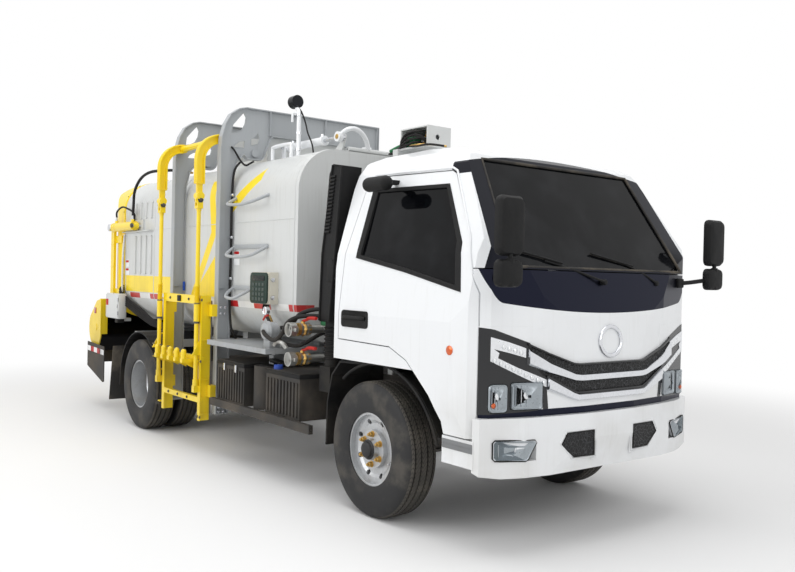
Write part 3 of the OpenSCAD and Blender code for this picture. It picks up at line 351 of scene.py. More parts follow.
def tankFinish():
    # light grey with a yellow chevron between the posts, a low yellow band at the rear and reflective tape
    spec = coats["paintGrey"]
    f = Finish("tankPaint", Coat_Roughness=0.08, Coat_Weight=spec["coat"])
    x = f.x - axleX
    flank = abs(f.y) > 0.60
    drop = (1.69 - f.z).maths("MAXIMUM", 1.69 - f.z, 0.0)
    rise = (f.z - 1.69).maths("MAXIMUM", f.z - 1.69, 0.0)
    chevron = (abs(x + drop * 0.72 + rise * 0.14 + 2.30) < 0.052) * (f.z < 2.10) * (f.z > 1.18)
    wedge = (f.z < (x + 2.212) * 0.81 + 1.551) * (f.z > 1.18) * (x < -2.05) * (x > -2.80)
    sweep = (abs(f.z - (x + 1.62) * 0.54 - 2.074) < 0.045) * (x > -2.03) * (x < -1.58)
    bandLow = (f.z > 1.175) * (f.z < 1.325) * (x < -3.0)
    stripes = chevron.maths("MAXIMUM", chevron, wedge)
    stripes = stripes.maths("MAXIMUM", stripes, sweep)
    stripes = stripes.maths("MAXIMUM", stripes, bandLow) * flank
    tape = (f.z > 1.118) * (f.z < 1.165) * flank
    blocks = x.repeat(0.50) > 0.125
    low = f.z.ease(1.6, 0.9)
    runs = f.noise(5.0, 4.0, (9.0, 9.0, 0.5)).ease(0.50, 0.78)
    grime = low * f.noise(2.4, 5.0).ease(0.42, 0.68) * 0.7 + runs * 0.35
    tone = rgb(*spec["tone"])
    colour = f.mix(f.noise(0.8, 3.0), tone, tuple(c * 0.88 for c in tone))
    colour = f.mix(stripes, colour, rgb(246, 216, 12))
    colour = f.mix(tape, colour, f.mix(blocks, rgb(188, 24, 26), rgb(232, 232, 230)))
    colour = f.mix(grime * 0.42, colour, rgb(*spec["dust"]))
    dents = f.noise(1.7, 2.0) * 0.6 + f.noise(260, 2.0) * 0.012
    return f.out(colour, grime * 0.25 + f.noise(300, 2.0) * 0.06 + 0.34, bump=dents, depth=0.004)


def gridFinish():
    # honeycomb grille behind the chrome bars; its webs are black plastic and its cells are painted
    # near-black as shade in the openings
    f = Finish("gridBlack")
    net = f.cells(1.0, (1, 62, 46), "DISTANCE_TO_EDGE").ease(0.02, 0.12)
    # near-black cells: painted shade in the honeycomb's openings
    colour = f.mix(net, rgb(44, 45, 48), rgb(5, 5, 6))
    return f.out(colour, net * 0.3 + 0.4, bump=net * -1, depth=0.006)


def clearFinish(name, tone, rough):
    f = Finish(name, Coat_Weight=0.7, Coat_Roughness=0.03)
    ribs = f.y.repeat(0.018) / 0.009
    colour = f.mix(ribs * 0.5 + f.noise(40) * 0.3, rgb(*tone), tuple(c * 0.72 for c in rgb(*tone)))
    return f.out(colour, ribs * 0.05 + rough, 0.55, bump=ribs, depth=0.001)


def tyreFinish(name, wheelX):
    # cross cuts over the tread and fine rings on the wall, both turning with the wheel's own axis
    f = Finish(name, Specular_IOR_Level=0.35)
    ahead = f.x - (axleX + wheelX)
    above = f.z - 0.3875
    radius = (ahead * ahead + above * above).maths("SQRT", ahead * ahead + above * above)
    angle = above.maths("ARCTAN2", above, ahead)
    zigzag = (f.y.repeat(0.044) - 0.011) * 1.6
    cuts = (angle * 0.387 + zigzag).repeat(0.026) < 0.0022
    tread = radius > 0.3790
    rings = radius.repeat(0.0075) * 90
    wall = (radius < 0.372) * (radius > 0.225)
    dusty = f.noise(6.5, 5.0).ease(0.45, 0.72)
    worn = tread * 0.30 + dusty * 0.30
    colour = f.mix(worn, rgb(31, 31, 32), rgb(118, 112, 102))
    # the cross cuts are painted near-black as shade in the grooves
    colour = f.mix(cuts * tread, colour, rgb(12, 12, 12))
    height = (1 - cuts * tread) + wall * rings * 0.10 + f.noise(240, 2.0) * 0.06
    return f.out(colour, worn * 0.3 + 0.58, bump=height, depth=0.005)


def mirrorFinish():
    f = Finish("mirrorGlass")
    film = f.noise(14, 4.0).ease(0.5, 0.8)
    return f.out(f.mix(film, rgb(214, 220, 224), rgb(170, 174, 176)), film * 0.10 + 0.03, 0.95)


finishes["tankPaint"] = tankFinish()
for name, tone, rough in (("valveGreen", (40, 116, 74), 0.45), ("keypadGreen", (30, 52, 46), 0.4),
                          ("screenDark", (22, 30, 30), 0.15), ("doorBeige", (214, 210, 196), 0.4),
                          ("keyGrey", (74, 84, 80), 0.5), ("handleRed", (186, 34, 30), 0.35),
                          ("capBlue", (44, 86, 190), 0.4), ("tapeRed", (188, 24, 26), 0.35),
                          ("cableBlack", (26, 26, 28), 0.5)):
    finishes[name] = mouldedFinish(name, tone, (96, 90, 80), rough)
finishes["frontTyre"] = tyreFinish("frontTyre", 0)
finishes["rearTyre"] = tyreFinish("rearTyre", -3.308)
finishes["mirrorGlass"] = mirrorFinish()
finishes["hubBlack"] = metalFinish("hubBlack", (40, 40, 42), 0.4, load=0.5, metallic=0.4)
finishes["gridBlack"] = gridFinish()
finishes["lampBowl"] = metalFinish("lampBowl", (240, 242, 245), 0.22, load=0.05, metallic=0.55)
finishes["bulbClear"] = clearFinish("bulbClear", (240, 242, 244), 0.08)
finishes["orangeLens"] = clearFinish("orangeLens", (214, 92, 24), 0.18)
finishes["redLens"] = clearFinish("redLens", (170, 22, 20), 0.18)
print("finishes made,", len(finishes))

# CAD nodes keep their shape and take these finishes

slotFinish = {"paint_white": "paintWhite", "paint_grey": "paintGrey", "paint_mid_grey": "paintMidGrey",
              "paint_yellow": "paintYellow", "chassis_black": "chassisBlack",
              "plastic_black": "plasticBlack", "plastic_grey": "plasticGrey", "seat_fabric": "seatCloth",
              "glass_dark": "cabGlass", "lamp_clear": "lampGlass", "rim_silver": "rimSilver",
              "tyre": "tyreRubber", "steel_rod": "steelRod", "pipe_steel": "pipeSteel", "cast": "castIron"}
ownFinish = {"front_panel": "frontPaint", "cab_shell": "cabPaint", "tank": "tankPaint",
             "drip_gutter": "gutterPaint", "work_lamp": "mastPaint", "control_box": "doorBeige",
             "springs": "chassisBlack", "steering_wheel": "plasticBlack"}


def dressNodes():
    for part in frame["record"]["subparts"]:
        node = nodes[part["node"]]
        chosen = ownFinish.get(part["node"], slotFinish[part["material_slot"]])
        node.data.materials.clear()
        node.data.materials.append(finishes[chosen])


dressNodes()

# stage

plainRays = ("Is Camera Ray", "Is Glossy Ray", "Is Transmission Ray")    # these see the white background


def makeStage():
    mesh = bpy.data.meshes.new("floor")
    mesh.from_pydata([(-40, -40, 0), (40, -40, 0), (40, 40, 0), (-40, 40, 0)], [], [(0, 1, 2, 3)])
    floor = bpy.data.objects.new("floor", mesh)
    bpy.context.scene.collection.objects.link(floor)
    f = Finish("floorPaper")
    tone = studio["floorTone"]
    colour = f.mix(f.noise(0.7, 3.0), tone, tuple(c * 0.985 for c in tone))
    f.out(colour, 0.85)
    away = f.add("ShaderNodeVectorMath", {"operation": "LENGTH"}, {0: f.place}, output="Value")
    rays = f.add("ShaderNodeLightPath", whole=True)
    camera, glossy, through = (Flow(f, rays.outputs[name]) for name in plainRays)
    seen = camera + glossy + through
    seen = seen.maths("MINIMUM", seen, 1.0)
    f.blend(away.ease(3.4, 7.5) * seen, Flow(f, f.shader.outputs[0]), f.add("ShaderNodeEmission"))
    mesh.materials.append(f.material)
    world = bpy.data.worlds.new("studioSky")
    world.use_nodes = True
    tree = world.node_tree
    tree.nodes.clear()
    soft, shown = (tree.nodes.new("ShaderNodeBackground") for _ in range(2))
    for sky, strength in ((soft, studio["sky"]), (shown, 1.0)):
        sky.inputs[0].default_value = (1, 1, 1, 1)
        sky.inputs[1].default_value = strength
    rays = tree.nodes.new("ShaderNodeLightPath")
    pick = tree.nodes.new("ShaderNodeMixShader")
    end = tree.nodes.new("ShaderNodeOutputWorld")
    total = rays.outputs[plainRays[0]]
    for name in plainRays[1:]:
        plus = tree.nodes.new("ShaderNodeMath")
        plus.use_clamp = True
        tree.links.new(total, plus.inputs[0])
        tree.links.new(rays.outputs[name], plus.inputs[1])
        total = plus.outputs[0]
    tree.links.new(total, pick.inputs[0])
    tree.links.new(soft.outputs[0], pick.inputs[1])
    tree.links.new(shown.outputs[0], pick.inputs[2])
    tree.links.new(pick.outputs[0], end.inputs[0])
    bpy.context.scene.world = world
    bpy.context.scene.view_settings.view_transform = "Standard"


makeStage()

# shapes: lengths in mm from the front axle, turned to metres in the frame when a piece is finished

axisOrder = {"x": (1, 2, 0), "y": (0, 2, 1), "z": (0, 1, 2)}


class Shape:
    def __init__(self):
        self.mesh = bmesh.new()
        self.used = []

    def index(self, finish):
        if finish not in self.used:
            self.used.append(finish)
        return self.used.index(finish)

    def keep(self, faces, finish, smooth=False):
        number = self.index(finish)
        for face in faces:
            face.material_index = number
            face.smooth = smooth
        bmesh.ops.recalc_face_normals(self.mesh, faces=faces)

    def prism(self, finish, axis, outline, low, high, bevel=0, steps=2):
        # outline lies across the axis: (y, z) along x, (x, z) along y, (x, y) along z
        a, b, c = axisOrder[axis]
        part = bmesh.new()
        rings = []
        for level in (low, high):
            ring = []
            for first, second in outline:
                place = [0, 0, 0]
                place[a], place[b], place[c] = first, second, level
                ring.append(part.verts.new(place))
            rings.append(ring)
        count = len(outline)
        part.faces.new(rings[0])
        part.faces.new(rings[1])
        for i in range(count):
            j = (i + 1) % count
            part.faces.new((rings[0][i], rings[0][j], rings[1][j], rings[1][i]))
        if bevel:
            bmesh.ops.bevel(part, geom=list(part.edges), offset=bevel, segments=steps, profile=0.5,
                            affect="EDGES", clamp_overlap=True)
        bmesh.ops.recalc_face_normals(part, faces=part.faces)
        number = self.index(finish)
        for face in part.faces:
            face.material_index = number
            face.smooth = bevel > 0
        holder = bpy.data.meshes.new("part")
        part.to_mesh(holder)
        part.free()
        self.mesh.from_mesh(holder)
        bpy.data.meshes.remove(holder)

    def box(self, finish, low, high, bevel=0):
        low, high = ([min(p) for p in zip(low, high)], [max(p) for p in zip(low, high)])
        outline = [(low[0], low[1]), (high[0], low[1]), (high[0], high[1]), (low[0], high[1])]
        self.prism(finish, "z", outline, low[2], high[2], bevel)

    def skin(self, finish, rings, closed=False, capped=True):
        # faces between rings of places; closed joins the last ring to the first
        rows = [[self.mesh.verts.new(p) for p in ring] for ring in rings]
        faces = []
        size = len(rows[0])
        pairs = list(zip(rows, rows[1:])) + ([(rows[-1], rows[0])] if closed else [])
        for one, two in pairs:
            for i in range(size):
                j = (i + 1) % size
                faces.append(self.mesh.faces.new((one[i], one[j], two[j], two[i])))
        if capped and not closed:
            ends = [self.mesh.faces.new(rows[0]), self.mesh.faces.new(rows[-1])]
            self.keep(faces, finish, True)
            self.keep(faces + ends, finish, True)
            for face in ends:
                face.smooth = False
            return
        self.keep(faces, finish, True)

    def tube(self, finish, path, radius, sides=12, closed=False):
        path = [Vector(p) for p in path]
        count = len(path)
        rings = []
        side = None
        for i, point in enumerate(path):
            before = path[i - 1] if i or closed else path[0]
            after = path[(i + 1) % count] if i < count - 1 or closed else path[-1]
            along = (after - before).normalized()
            if side is None:
                side = along.cross(Vector((0.3, 0.2, 1))).normalized()
            side = (side - along * side.dot(along)).normalized()
            other = along.cross(side)
            size = radius[i] if isinstance(radius, (list, tuple)) else radius
            rings.append([point + side * size * math.cos(2 * math.pi * k / sides)
                          + other * size * math.sin(2 * math.pi * k / sides) for k in range(sides)])
        self.skin(finish, rings, closed)

    def lathe(self, finish, centre, axis, profile, sides=32, closed=False):
        # profile holds (distance along the axis, radius)
        a, b, c = axisOrder[axis]
        rings = []
        for along, radius in profile:
            ring = []
            for k in range(sides):
                turn = 2 * math.pi * k / sides
                place = [0, 0, 0]
                place[a] = centre[a] + max(radius, 0.01) * math.cos(turn)
                place[b] = centre[b] + max(radius, 0.01) * math.sin(turn)
                place[c] = centre[c] + along
                ring.append(place)
            rings.append(ring)
        self.skin(finish, rings, closed)

    def disc(self, finish, centre, axis, low, high, radius, sides=16):
        # a plain round bar between two levels along the axis
        self.lathe(finish, centre, axis, [(low, 0), (low, radius), (high, radius), (high, 0)], sides)

    def hoop(self, finish, centre, axis, half, inside, outside, sides=24):
        # a flat ring, as a collar or a clamp
        profile = [(-half, inside), (-half, outside), (half, outside), (half, inside)]
        self.lathe(finish, centre, axis, profile, sides, closed=True)

    def hose(self, finish, points, radius, sides=8, each=6):
        self.tube(finish, smoothPath(points, each), radius, sides)

    def piece(self, name, body, slot):
        bmesh.ops.remove_doubles(self.mesh, verts=self.mesh.verts, dist=0.01)
        mesh = bpy.data.meshes.new(name)
        self.mesh.transform(Matrix.Translation((axleX, 0, 0)) @ Matrix.Scale(0.001, 4))
        self.mesh.to_mesh(mesh)
        self.mesh.free()
        for finish in self.used:
            mesh.materials.append(finishes[finish])
        mesh.set_sharp_from_angle(angle=math.radians(38))
        made = bpy.data.objects.new(name, mesh)
        bpy.context.scene.collection.objects.link(made)
        if body:
            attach(made, body)
        return made


def smoothPath(points, each=6):
    # a rounded path through the given points
    points = [Vector(p) for p in points]
    path = []
    for i in range(len(points) - 1):
        p0 = points[max(i - 1, 0)]
        p1, p2 = points[i], points[i + 1]
        p3 = points[min(i + 2, len(points) - 1)]
        for k in range(each):
            t = k / each
            path.append(0.5 * (2 * p1 + (p2 - p0) * t + (2 * p0 - 5 * p1 + 4 * p2 - p3) * t * t
                               + (3 * p1 - p0 - 3 * p2 + p3) * t ** 3))
    return path + [points[-1]]


def arcPoints(centreA, centreB, radius, start, end, steps=8):
    return [(centreA + radius * math.cos(math.radians(start + (end - start) * k / steps)), centreB
             + radius * math.sin(math.radians(start + (end - start) * k / steps)))
            for k in range(steps + 1)]


def roundedOutline(a0, b0, a1, b1, radius, steps=4):
    return (arcPoints(a1 - radius, b1 - radius, radius, 0, 90, steps) + arcPoints(a0 + radius, b1 - radius,
            radius, 90, 180, steps) + arcPoints(a0 + radius, b0 + radius, radius, 180, 270, steps)
            + arcPoints(a1 - radius, b0 + radius, radius, 270, 360, steps))


# Geometry Nodes for what repeats: one small mesh set at every given place and turned to face one way


def repeatTree(finish):
    tree = bpy.data.node_groups.new("repeatPart", "GeometryNodeTree")
    tree.interface.new_socket("Geometry", in_out="INPUT", socket_type="NodeSocketGeometry")
    for label, kind, start in (("Part", "NodeSocketObject", None), ("Size", "NodeSocketFloat", 1.0),
                               ("Turn", "NodeSocketVector", (0, 0, 0)), ("Jitter", "NodeSocketFloat", 0.0),
                               ("Seed", "NodeSocketInt", 3)):
        socket = tree.interface.new_socket(label, in_out="INPUT", socket_type=kind)
        if start is not None:
            socket.default_value = start
    tree.interface.new_socket("Geometry", in_out="OUTPUT", socket_type="NodeSocketGeometry")
    entry, leave, part, chance, spread, total, turn, setOut, real, dress = (tree.nodes.new(kind)
            for kind in ( "NodeGroupInput", "NodeGroupOutput", "GeometryNodeObjectInfo",
                         "FunctionNodeRandomValue", "ShaderNodeVectorMath", "ShaderNodeVectorMath",
                         "FunctionNodeEulerToRotation", "GeometryNodeInstanceOnPoints",
                         "GeometryNodeRealizeInstances", "GeometryNodeSetMaterial"))
    chance.data_type = "FLOAT_VECTOR"
    chance.inputs[0].default_value = (-1, -1, -1)
    spread.operation = "SCALE"
    dress.inputs["Material"].default_value = finishes[finish]
    for giver, output, taker, socket in (
            (entry, "Geometry", setOut, "Points"), (entry, "Part", part, "Object"),
            (part, "Geometry", setOut, "Instance"), (entry, "Seed", chance, "Seed"), (chance, 0, spread, 0),
            (entry, "Jitter", spread, "Scale"), (spread, 0, total, 0), (entry, "Turn", total, 1),
            (total, 0, turn, 0), (turn, 0, setOut, "Rotation"), (entry, "Size", setOut, "Scale"),
            (setOut, 0, real, 0), (real, 0, dress, "Geometry"), (dress, 0, leave, 0)):
        tree.links.new(giver.outputs[output], taker.inputs[socket])
    return tree


def smallMesh(name, shape):
    # a part about its own origin, in mm, facing +z
    mesh = bpy.data.meshes.new(name)
    shape.mesh.transform(Matrix.Scale(0.001, 4))
    shape.mesh.to_mesh(mesh)
    shape.mesh.free()
    mesh.set_sharp_from_angle(angle=math.radians(40))
    return bpy.data.objects.new(name, mesh)


facing = {"+z": (0, 0, 0), "-y": (math.pi / 2, 0, 0), "+y": (-math.pi / 2, 0, 0), "+x": (0, math.pi / 2, 0),
          "-x": (0, -math.pi / 2, 0), "-z": (math.pi, 0, 0)}


def repeatPart(name, part, places, way, finish, body, size=1.0, jitter=0.0):
    mesh = bpy.data.meshes.new(name)
    mesh.from_pydata([(x / 1000 + axleX, y / 1000, z / 1000) for x, y, z in places], [], [])
    base = bpy.data.objects.new(name + "Points", mesh)
    bpy.context.scene.collection.objects.link(base)
    tree = repeatTree(finish)
    modifier = base.modifiers.new("repeat", "NODES")
    modifier.node_group = tree
    named = {s.name: s.identifier for s in tree.interface.items_tree if s.in_out == "INPUT"}
    modifier[named["Part"]] = part
    modifier[named["Size"]] = size
    modifier[named["Turn"]] = facing[way] if isinstance(way, str) else way
    modifier[named["Jitter"]] = jitter
    graph = bpy.context.evaluated_depsgraph_get()
    result = bpy.data.meshes.new_from_object(base.evaluated_get(graph))
    bpy.data.objects.remove(base)
    made = bpy.data.objects.new(name, result)
    bpy.context.scene.collection.objects.link(made)
    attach(made, body)
    return made


def boltHead(across=18, height=9, washer=26):
    shape = Shape()
    flat = [(0, 0), (0, washer / 2), (2.5, washer / 2), (2.5, across / 2)]
    head = [(2, 0), (2, across / 2), (height - 1, across / 2), (height, across / 2 - 1.5), (height, 0)]
    shape.lathe("steelRod", (0, 0, 0), "z", flat, 16)
    shape.lathe("steelRod", (0, 0, 0), "z", head, 6)
    return smallMesh("bolt", shape)


bolt = boltHead()
print("shape tools ready")

# cab front

front = {"planY": (0, 160, 500, 790, 868), "planX": (1012, 1012, 975, 900, 820),
         "sideZ": (440, 900, 1200, 1440), "sideX": (1010, 1005, 990, 950), "badge": (0, 1055),
         "badgeSize": (98, 88), "bars": 28}


def between(value, keys, values):
    if value <= keys[0]:
        return values[0]
    for k in range(1, len(keys)):
        if value <= keys[k]:
            t = (value - keys[k - 1]) / (keys[k] - keys[k - 1])
            return values[k - 1] + (values[k] - values[k - 1]) * t
    return values[-1]


def faceX(y, z):
    # how far forward the cab's front stands at this place
    return min(between(abs(y), front["planY"], front["planX"]), between(z, front["sideZ"], front["sideX"]))


def ribbon(shape, finish, stations, back, proud):
    # a strip that follows the cab's front; each station is (y, low, high)
    rings = []
    for y, low, high in stations:
        bulge = (high - low) * 0.12
        rings.append([(faceX(y, low) + back, y, low), (faceX(y, low) + proud * 0.6, y, low),
                      (faceX(y, low) + proud, y, low + bulge), (faceX(y, high) + proud, y, high - bulge),
                      (faceX(y, high) + proud * 0.6, y, high), (faceX(y, high) + back, y, high)])
    shape.skin(finish, rings)


def steps(start, end, count):
    return [start + (end - start) * k / count for k in range(count + 1)]


def barStations(reach, lows, highs, keys):
    return [(y, between(abs(y), keys, lows), between(abs(y), keys, highs))
            for y in steps(-reach, reach, front["bars"])]


def makeGrille():
    shape = Shape()
    keys = (280, 470, 590)
    ribbon(shape, "gridBlack", barStations(585, (790, 870, 990), (942, 1002, 1050), keys), -6, 3)
    ribbon(shape, "panelBlack", barStations(590, (938, 1000, 1046), (948, 1010, 1058), keys), -4, 14)
    ribbon(shape, "chrome", barStations(588, (856, 905, 950), (893, 962, 1030), keys), -4, 24)
    ribbon(shape, "chrome", barStations(470, (758, 822, 826), (792, 884, 888), keys), -4, 24)
    ribbon(shape, "panelBlack", barStations(475, (792, 884, 888), (804, 896, 900), keys), -4, 12)
    return shape.piece("grille", "truck", "rim_silver")


def makeBadge():
    # a plain oval ring that holds nothing
    shape = Shape()
    y0, z0 = front["badge"]
    ry, rz = front["badgeSize"]
    rings = []
    for k in range(40):
        turn = 2 * math.pi * k / 40
        ring = []
        for j in range(10):
            roll = 2 * math.pi * j / 10
            y = y0 + (ry - 11 + 11 * math.cos(roll)) * math.cos(turn)
            z = z0 + (rz - 11 + 11 * math.cos(roll)) * math.sin(turn)
            ring.append((faceX(y, z) + 6 + 9 * math.sin(roll), y, z))
        rings.append(ring)
    shape.skin("chrome", rings, closed=True)
    return shape.piece("badgeRing", "truck", "rim_silver")


# bowl and lens are loops of (size, how proud of the cab's front)
lamp = {"bulbs": 9, "upperBulbs": 4, "lens": ((1.0, 3), (0.99, 14), (0.93, 18), (0.5, 20), (0.05, 20)),
        "bowl": ((1.0, 3), (0.98, 13), (0.94, 14), (0.88, 9), (0.7, 8), (0.66, 10), (0.4, 8), (0.1, 8))}


def grown(outline, middle, grow):
    # an outline made larger or smaller about its middle
    return [(middle[0] + (a - middle[0]) * grow, middle[1] + (b - middle[1]) * grow) for a, b in outline]


def lampPlate(shape, finish, outline, back, proud):
    # a plate cut to a (y, z) outline that follows the cab's front; outline is for the right side
    for side in (-1, 1):
        inner = [(faceX(y, z) + back, side * abs(y), z) for y, z in outline]
        outer = [(faceX(y, z) + proud, side * abs(y), z) for y, z in outline]
        shape.skin(finish, [inner, outer])


def makeHeadlights():
    shape = Shape()
    dark = [[(828, 1134), (790, 1128), (790, 708), (828, 706)],
            [(790, 1128), (768, 1124), (768, 710), (790, 708)],
            [(768, 1124), (680, 1093), (680, 712), (768, 710)],
            [(680, 1093), (574, 1058), (567, 958), (567, 716), (680, 712)],
            [(567, 958), (472, 889), (470, 839), (456, 725), (567, 716)],
            [(574, 1058), (565, 1041), (567, 958)]]
    for cell in dark:
        lampPlate(shape, "panelBlack", cell, -14, 3)
    # the painted panel closes round the top of the lamp
    light = [[(828, 1134), (828, 1140), (790, 1140), (790, 1128)],
             [(790, 1128), (790, 1140), (768, 1140), (768, 1124)],
             [(768, 1124), (768, 1140), (574, 1140), (574, 1058)],
             [(574, 1058), (574, 1140), (458, 1140), (458, 990), (567, 1030)],
             [(567, 1030), (458, 990), (458, 880), (472, 889), (567, 958)]]
    for cell in light:
        lampPlate(shape, "paintWhite", cell, -8, 1.5)
    return shape.piece("lampHousing", "truck", "plastic_black")


def lampRings(side, window, sizes):
    # loops of one lamp's window: (size, how proud of the cab's front)
    low, z0, high, z1, corner = window
    outline = roundedOutline(low, z0, high, z1, corner)
    rings = []
    for grow, proud in sizes:
        loop = grown(outline, ((low + high) / 2, (z0 + z1) / 2), grow)
        rings.append([(faceX(*at) + proud, side * y, z) for at, (y, z) in zip(outline, loop)])
    return rings


def makeLampInsides():
    shape = Shape()
    strip = [[(790, 1088), (690, 1062), (690, 1010), (775, 1030)],
             [(690, 1062), (598, 1032), (598, 985), (690, 1010)],
             [(790, 1088), (775, 1030), (745, 1010), (752, 985), (790, 970)],
             [(790, 970), (752, 985), (640, 935), (650, 905)],
             [(650, 905), (640, 935), (552, 902), (562, 866)],
             [(562, 866), (552, 902), (475, 872), (475, 836)]]
    for cell in strip:
        lampPlate(shape, "lampBowl", cell, 2, 7)
    for low, high, z0, z1, corner in ((700, 794, 718, 855, 18), (504, 674, 728, 861, 14)):
        for side in (-1, 1):
            middle = (low + high) / 2
            shape.skin("lampBowl", lampRings(side, (low, z0, high, z1, corner), lamp["bowl"]), capped=False)
            reach = faceX(middle, 800)
            shape.lathe("bulbClear", (reach + 7, side * middle, 800), "x",
                        [(0, 22), (3, 22), (6, 16), (8, 4)], 16)
            # flutes of the reflector
            for k in range(5):
                y = middle + (k - 2) * (high - low) / 5.6
                path = [(faceX(y, z) + 7, side * y, z) for z in (z0 + 14, 800, z1 - 12)]
                shape.tube("chrome", path, 3, 6)
        for side in (-1, 1):
            shape.lathe("orangeLens", (faceX(772, 752) + 8, side * 772, 752), "x",
                        [(0, 14), (5, 13), (7, 6)], 16)
    return shape.piece("lampInsides", "truck", "rim_silver")


def bumperX(y):
    return between(abs(y), (160, 400, 620, 850, 862), (1040, 1020, 985, 900, 862))


fog = {"outline": [(770, 486), (782, 498), (783, 572), (772, 583), (566, 577), (556, 566), (604, 488),
                   (616, 480)],
       "centre": (672, 532), "mouth": [(164, 472), (304, 474), (392, 542), (352, 597), (164, 600)]}


def fogRings(side, sizes):
    # loops of the fog lamp's outline: (size, how proud of the bumper)
    rings = []
    for grow, proud in sizes:
        loop = grown(fog["outline"], fog["centre"], grow)
        rings.append([(bumperX(at[0]) + proud, side * y, z) for at, (y, z) in zip(fog["outline"], loop)])
    return rings


def makeLampLenses():
    shape = Shape()
    for window in ((697, 715, 797, 858, 20), (500, 725, 678, 864, 16)):
        for side in (-1, 1):
            shape.skin("lampGlass", lampRings(side, window, lamp["lens"]))
    for side in (-1, 1):
        shape.skin("lampGlass", fogRings(side, ((0.98, 5), (0.97, 9), (0.9, 10), (0.4, 11), (0.05, 11))))
    return shape.piece("lampLenses", "truck", "lamp_clear")


def makeLeds():
    shape = Shape()
    shape.lathe("lampBowl", (0, 0, 0), "z", [(0, 0), (0, 13), (3, 13), (6, 8), (7, 2)], 14)
    led = smallMesh("ledCup", shape)
    places = []
    for side in (-1, 1):
        for k in range(lamp["bulbs"]):
            t = k / (lamp["bulbs"] - 1)
            y, z = 768 - t * 278, 973 - t * 116
            places.append((faceX(y, z) + 6, side * y, z))
        for k in range(lamp["upperBulbs"]):
            places.append((faceX(720 - k * 32, 1040) + 6, side * (720 - k * 32), 1040 - k * 10))
    return repeatPart("ledCups", led, places, "+x", "bulbClear", "truck")


def makeBumperTrim():
    shape = Shape()
    for side in (-1, 1):
        edge = [(side * y, z) for y, z in fog["mouth"]]
        # the mouth takes the grille finish, whose cells are painted shade
        shape.skin("gridBlack", [[(bumperX(y) + proud, y, z) for y, z in edge] for proud in (-8, 1.5)])
        shape.tube("plasticBlack", [(bumperX(y) + 1, y, z) for y, z in edge], 4, 8, closed=True)
        rim = [(bumperX(y) - 1, y + side * (12 if abs(y) > 300 else -12), z + (10 if z > 530 else -10))
               for y, z in edge]
        shape.tube("paintWhite", rim, 4, 8, closed=True)
        # raised frame round each mouth
        for a, b in (((140, 452), (140, 612)), ((140, 612), (400, 612)), ((140, 452), (180, 452))):
            shape.tube("paintWhite", [(bumperX(y) - 2.4, side * y, z) for y, z in (a, b)], 3, 6)
        bowl = ((1.03, -14), (1.03, 6), (0.97, 7), (0.92, 4), (0.5, 4), (0.3, 5))
        shape.skin("lampBowl", fogRings(side, bowl))
        shape.tube("plasticBlack", fogRings(side, ((1.03, 4),))[0], 4, 8, closed=True)
        shape.lathe("bulbClear", (bumperX(660), side * 660, 530), "x", [(0, 18), (3, 16), (5, 4)], 16)
    return shape.piece("bumperTrim", "truck", "plastic_black")


# each wiper: foot, knee and tip of the arm, and the two ends of its blade
wipers = (((985, -36, 1368), (950, -250, 1428), (925, -450, 1472), ((940, -330, 1462), (905, -640, 1520))),
          ((968, 442, 1368), (950, 330, 1422), (925, 200, 1472), ((935, 260, 1462), (903, -60, 1522))))


def makeWipers():
    shape = Shape()
    for foot, knee, tip, (a, b) in wipers:
        shape.lathe("plasticBlack", (foot[0] - 30, foot[1], foot[2]), "x",
                    [(0, 16), (30, 16), (36, 12), (38, 2)], 16)
        shape.hose("plasticBlack", [(foot[0] + 2, foot[1], foot[2]), knee, tip], 6)
        shape.tube("plasticBlack", [a, b], 5, 8)
        shape.tube("tyreRubber", [(a[0] - 6, a[1], a[2] - 3), (b[0] - 6, b[1], b[2] - 3)], 4, 6)
    return shape.piece("wipers", "truck", "plastic_black")


makeGrille()
makeBadge()
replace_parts(makeHeadlights(), "headlights")
makeLampInsides()
makeLampLenses()
makeLeds()
makeBumperTrim()
makeWipers()
print("cab front made")

# wheels: tyres with their grooves, nuts and hub caps

wheels = {"hubZ": 387.5, "frontX": 0, "frontY": 759.5, "rearX": -3308, "rearY": 740, "dual": 115,
          "radius": 387.2, "grooves": (-62, -22, 22, 62), "nuts": 6,
          "frontCap": ((96, 31), (96, 57), (101, 57), (106, 48), (118, 44), (121, 38), (121, 0)),
          "rearCap": ((92, 36), (94, 62), (99, 62), (104, 54), (106, 20), (106, 0))}


def tyreProfile():
    half = [(-91, 208), (-97, 228), (-99.5, 262), (-99.8, 300), (-98, 335), (-93, 362), (-84, 379),
            (-74, 384.6)]
    tread = []
    for at in wheels["grooves"]:
        tread += [(at - 6, wheels["radius"] - abs(at) * 0.018), (at - 3.5, 376), (at + 3.5, 376),
                  (at + 6, wheels["radius"] - abs(at) * 0.018)]
    mirrored = [(-a, r) for a, r in reversed(half)]
    return half + tread + mirrored


def makeTyre(name, x, y, body, node, pair=0):
    shape = Shape()
    finish = "frontTyre" if x == wheels["frontX"] else "rearTyre"
    for shift in ((0,) if not pair else (-pair, pair)):
        shape.lathe(finish, (x, y + shift, wheels["hubZ"]), "y", tyreProfile(), 96, closed=True)
    made = shape.piece(name, body, "tyre")
    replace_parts(made, node)


def ringPlaces(x, y, radius, count, start=0):
    return [(x + radius * math.cos(start + 2 * math.pi * k / count), y,
             wheels["hubZ"] + radius * math.sin(start + 2 * math.pi * k / count)) for k in range(count)]


def wheelNut():
    shape = Shape()
    shape.lathe("brass", (0, 0, 0), "z", [(0, 0), (0, 19), (3, 19), (4, 15)], 18)
    shape.lathe("brass", (0, 0, 0), "z", [(3, 0), (3, 15), (21, 15), (24, 12), (24, 0)], 6)
    shape.lathe("brass", (0, 0, 0), "z", [(22, 0), (22, 8), (34, 8), (36, 6), (36, 0)], 10)
    return smallMesh("wheelNut", shape)


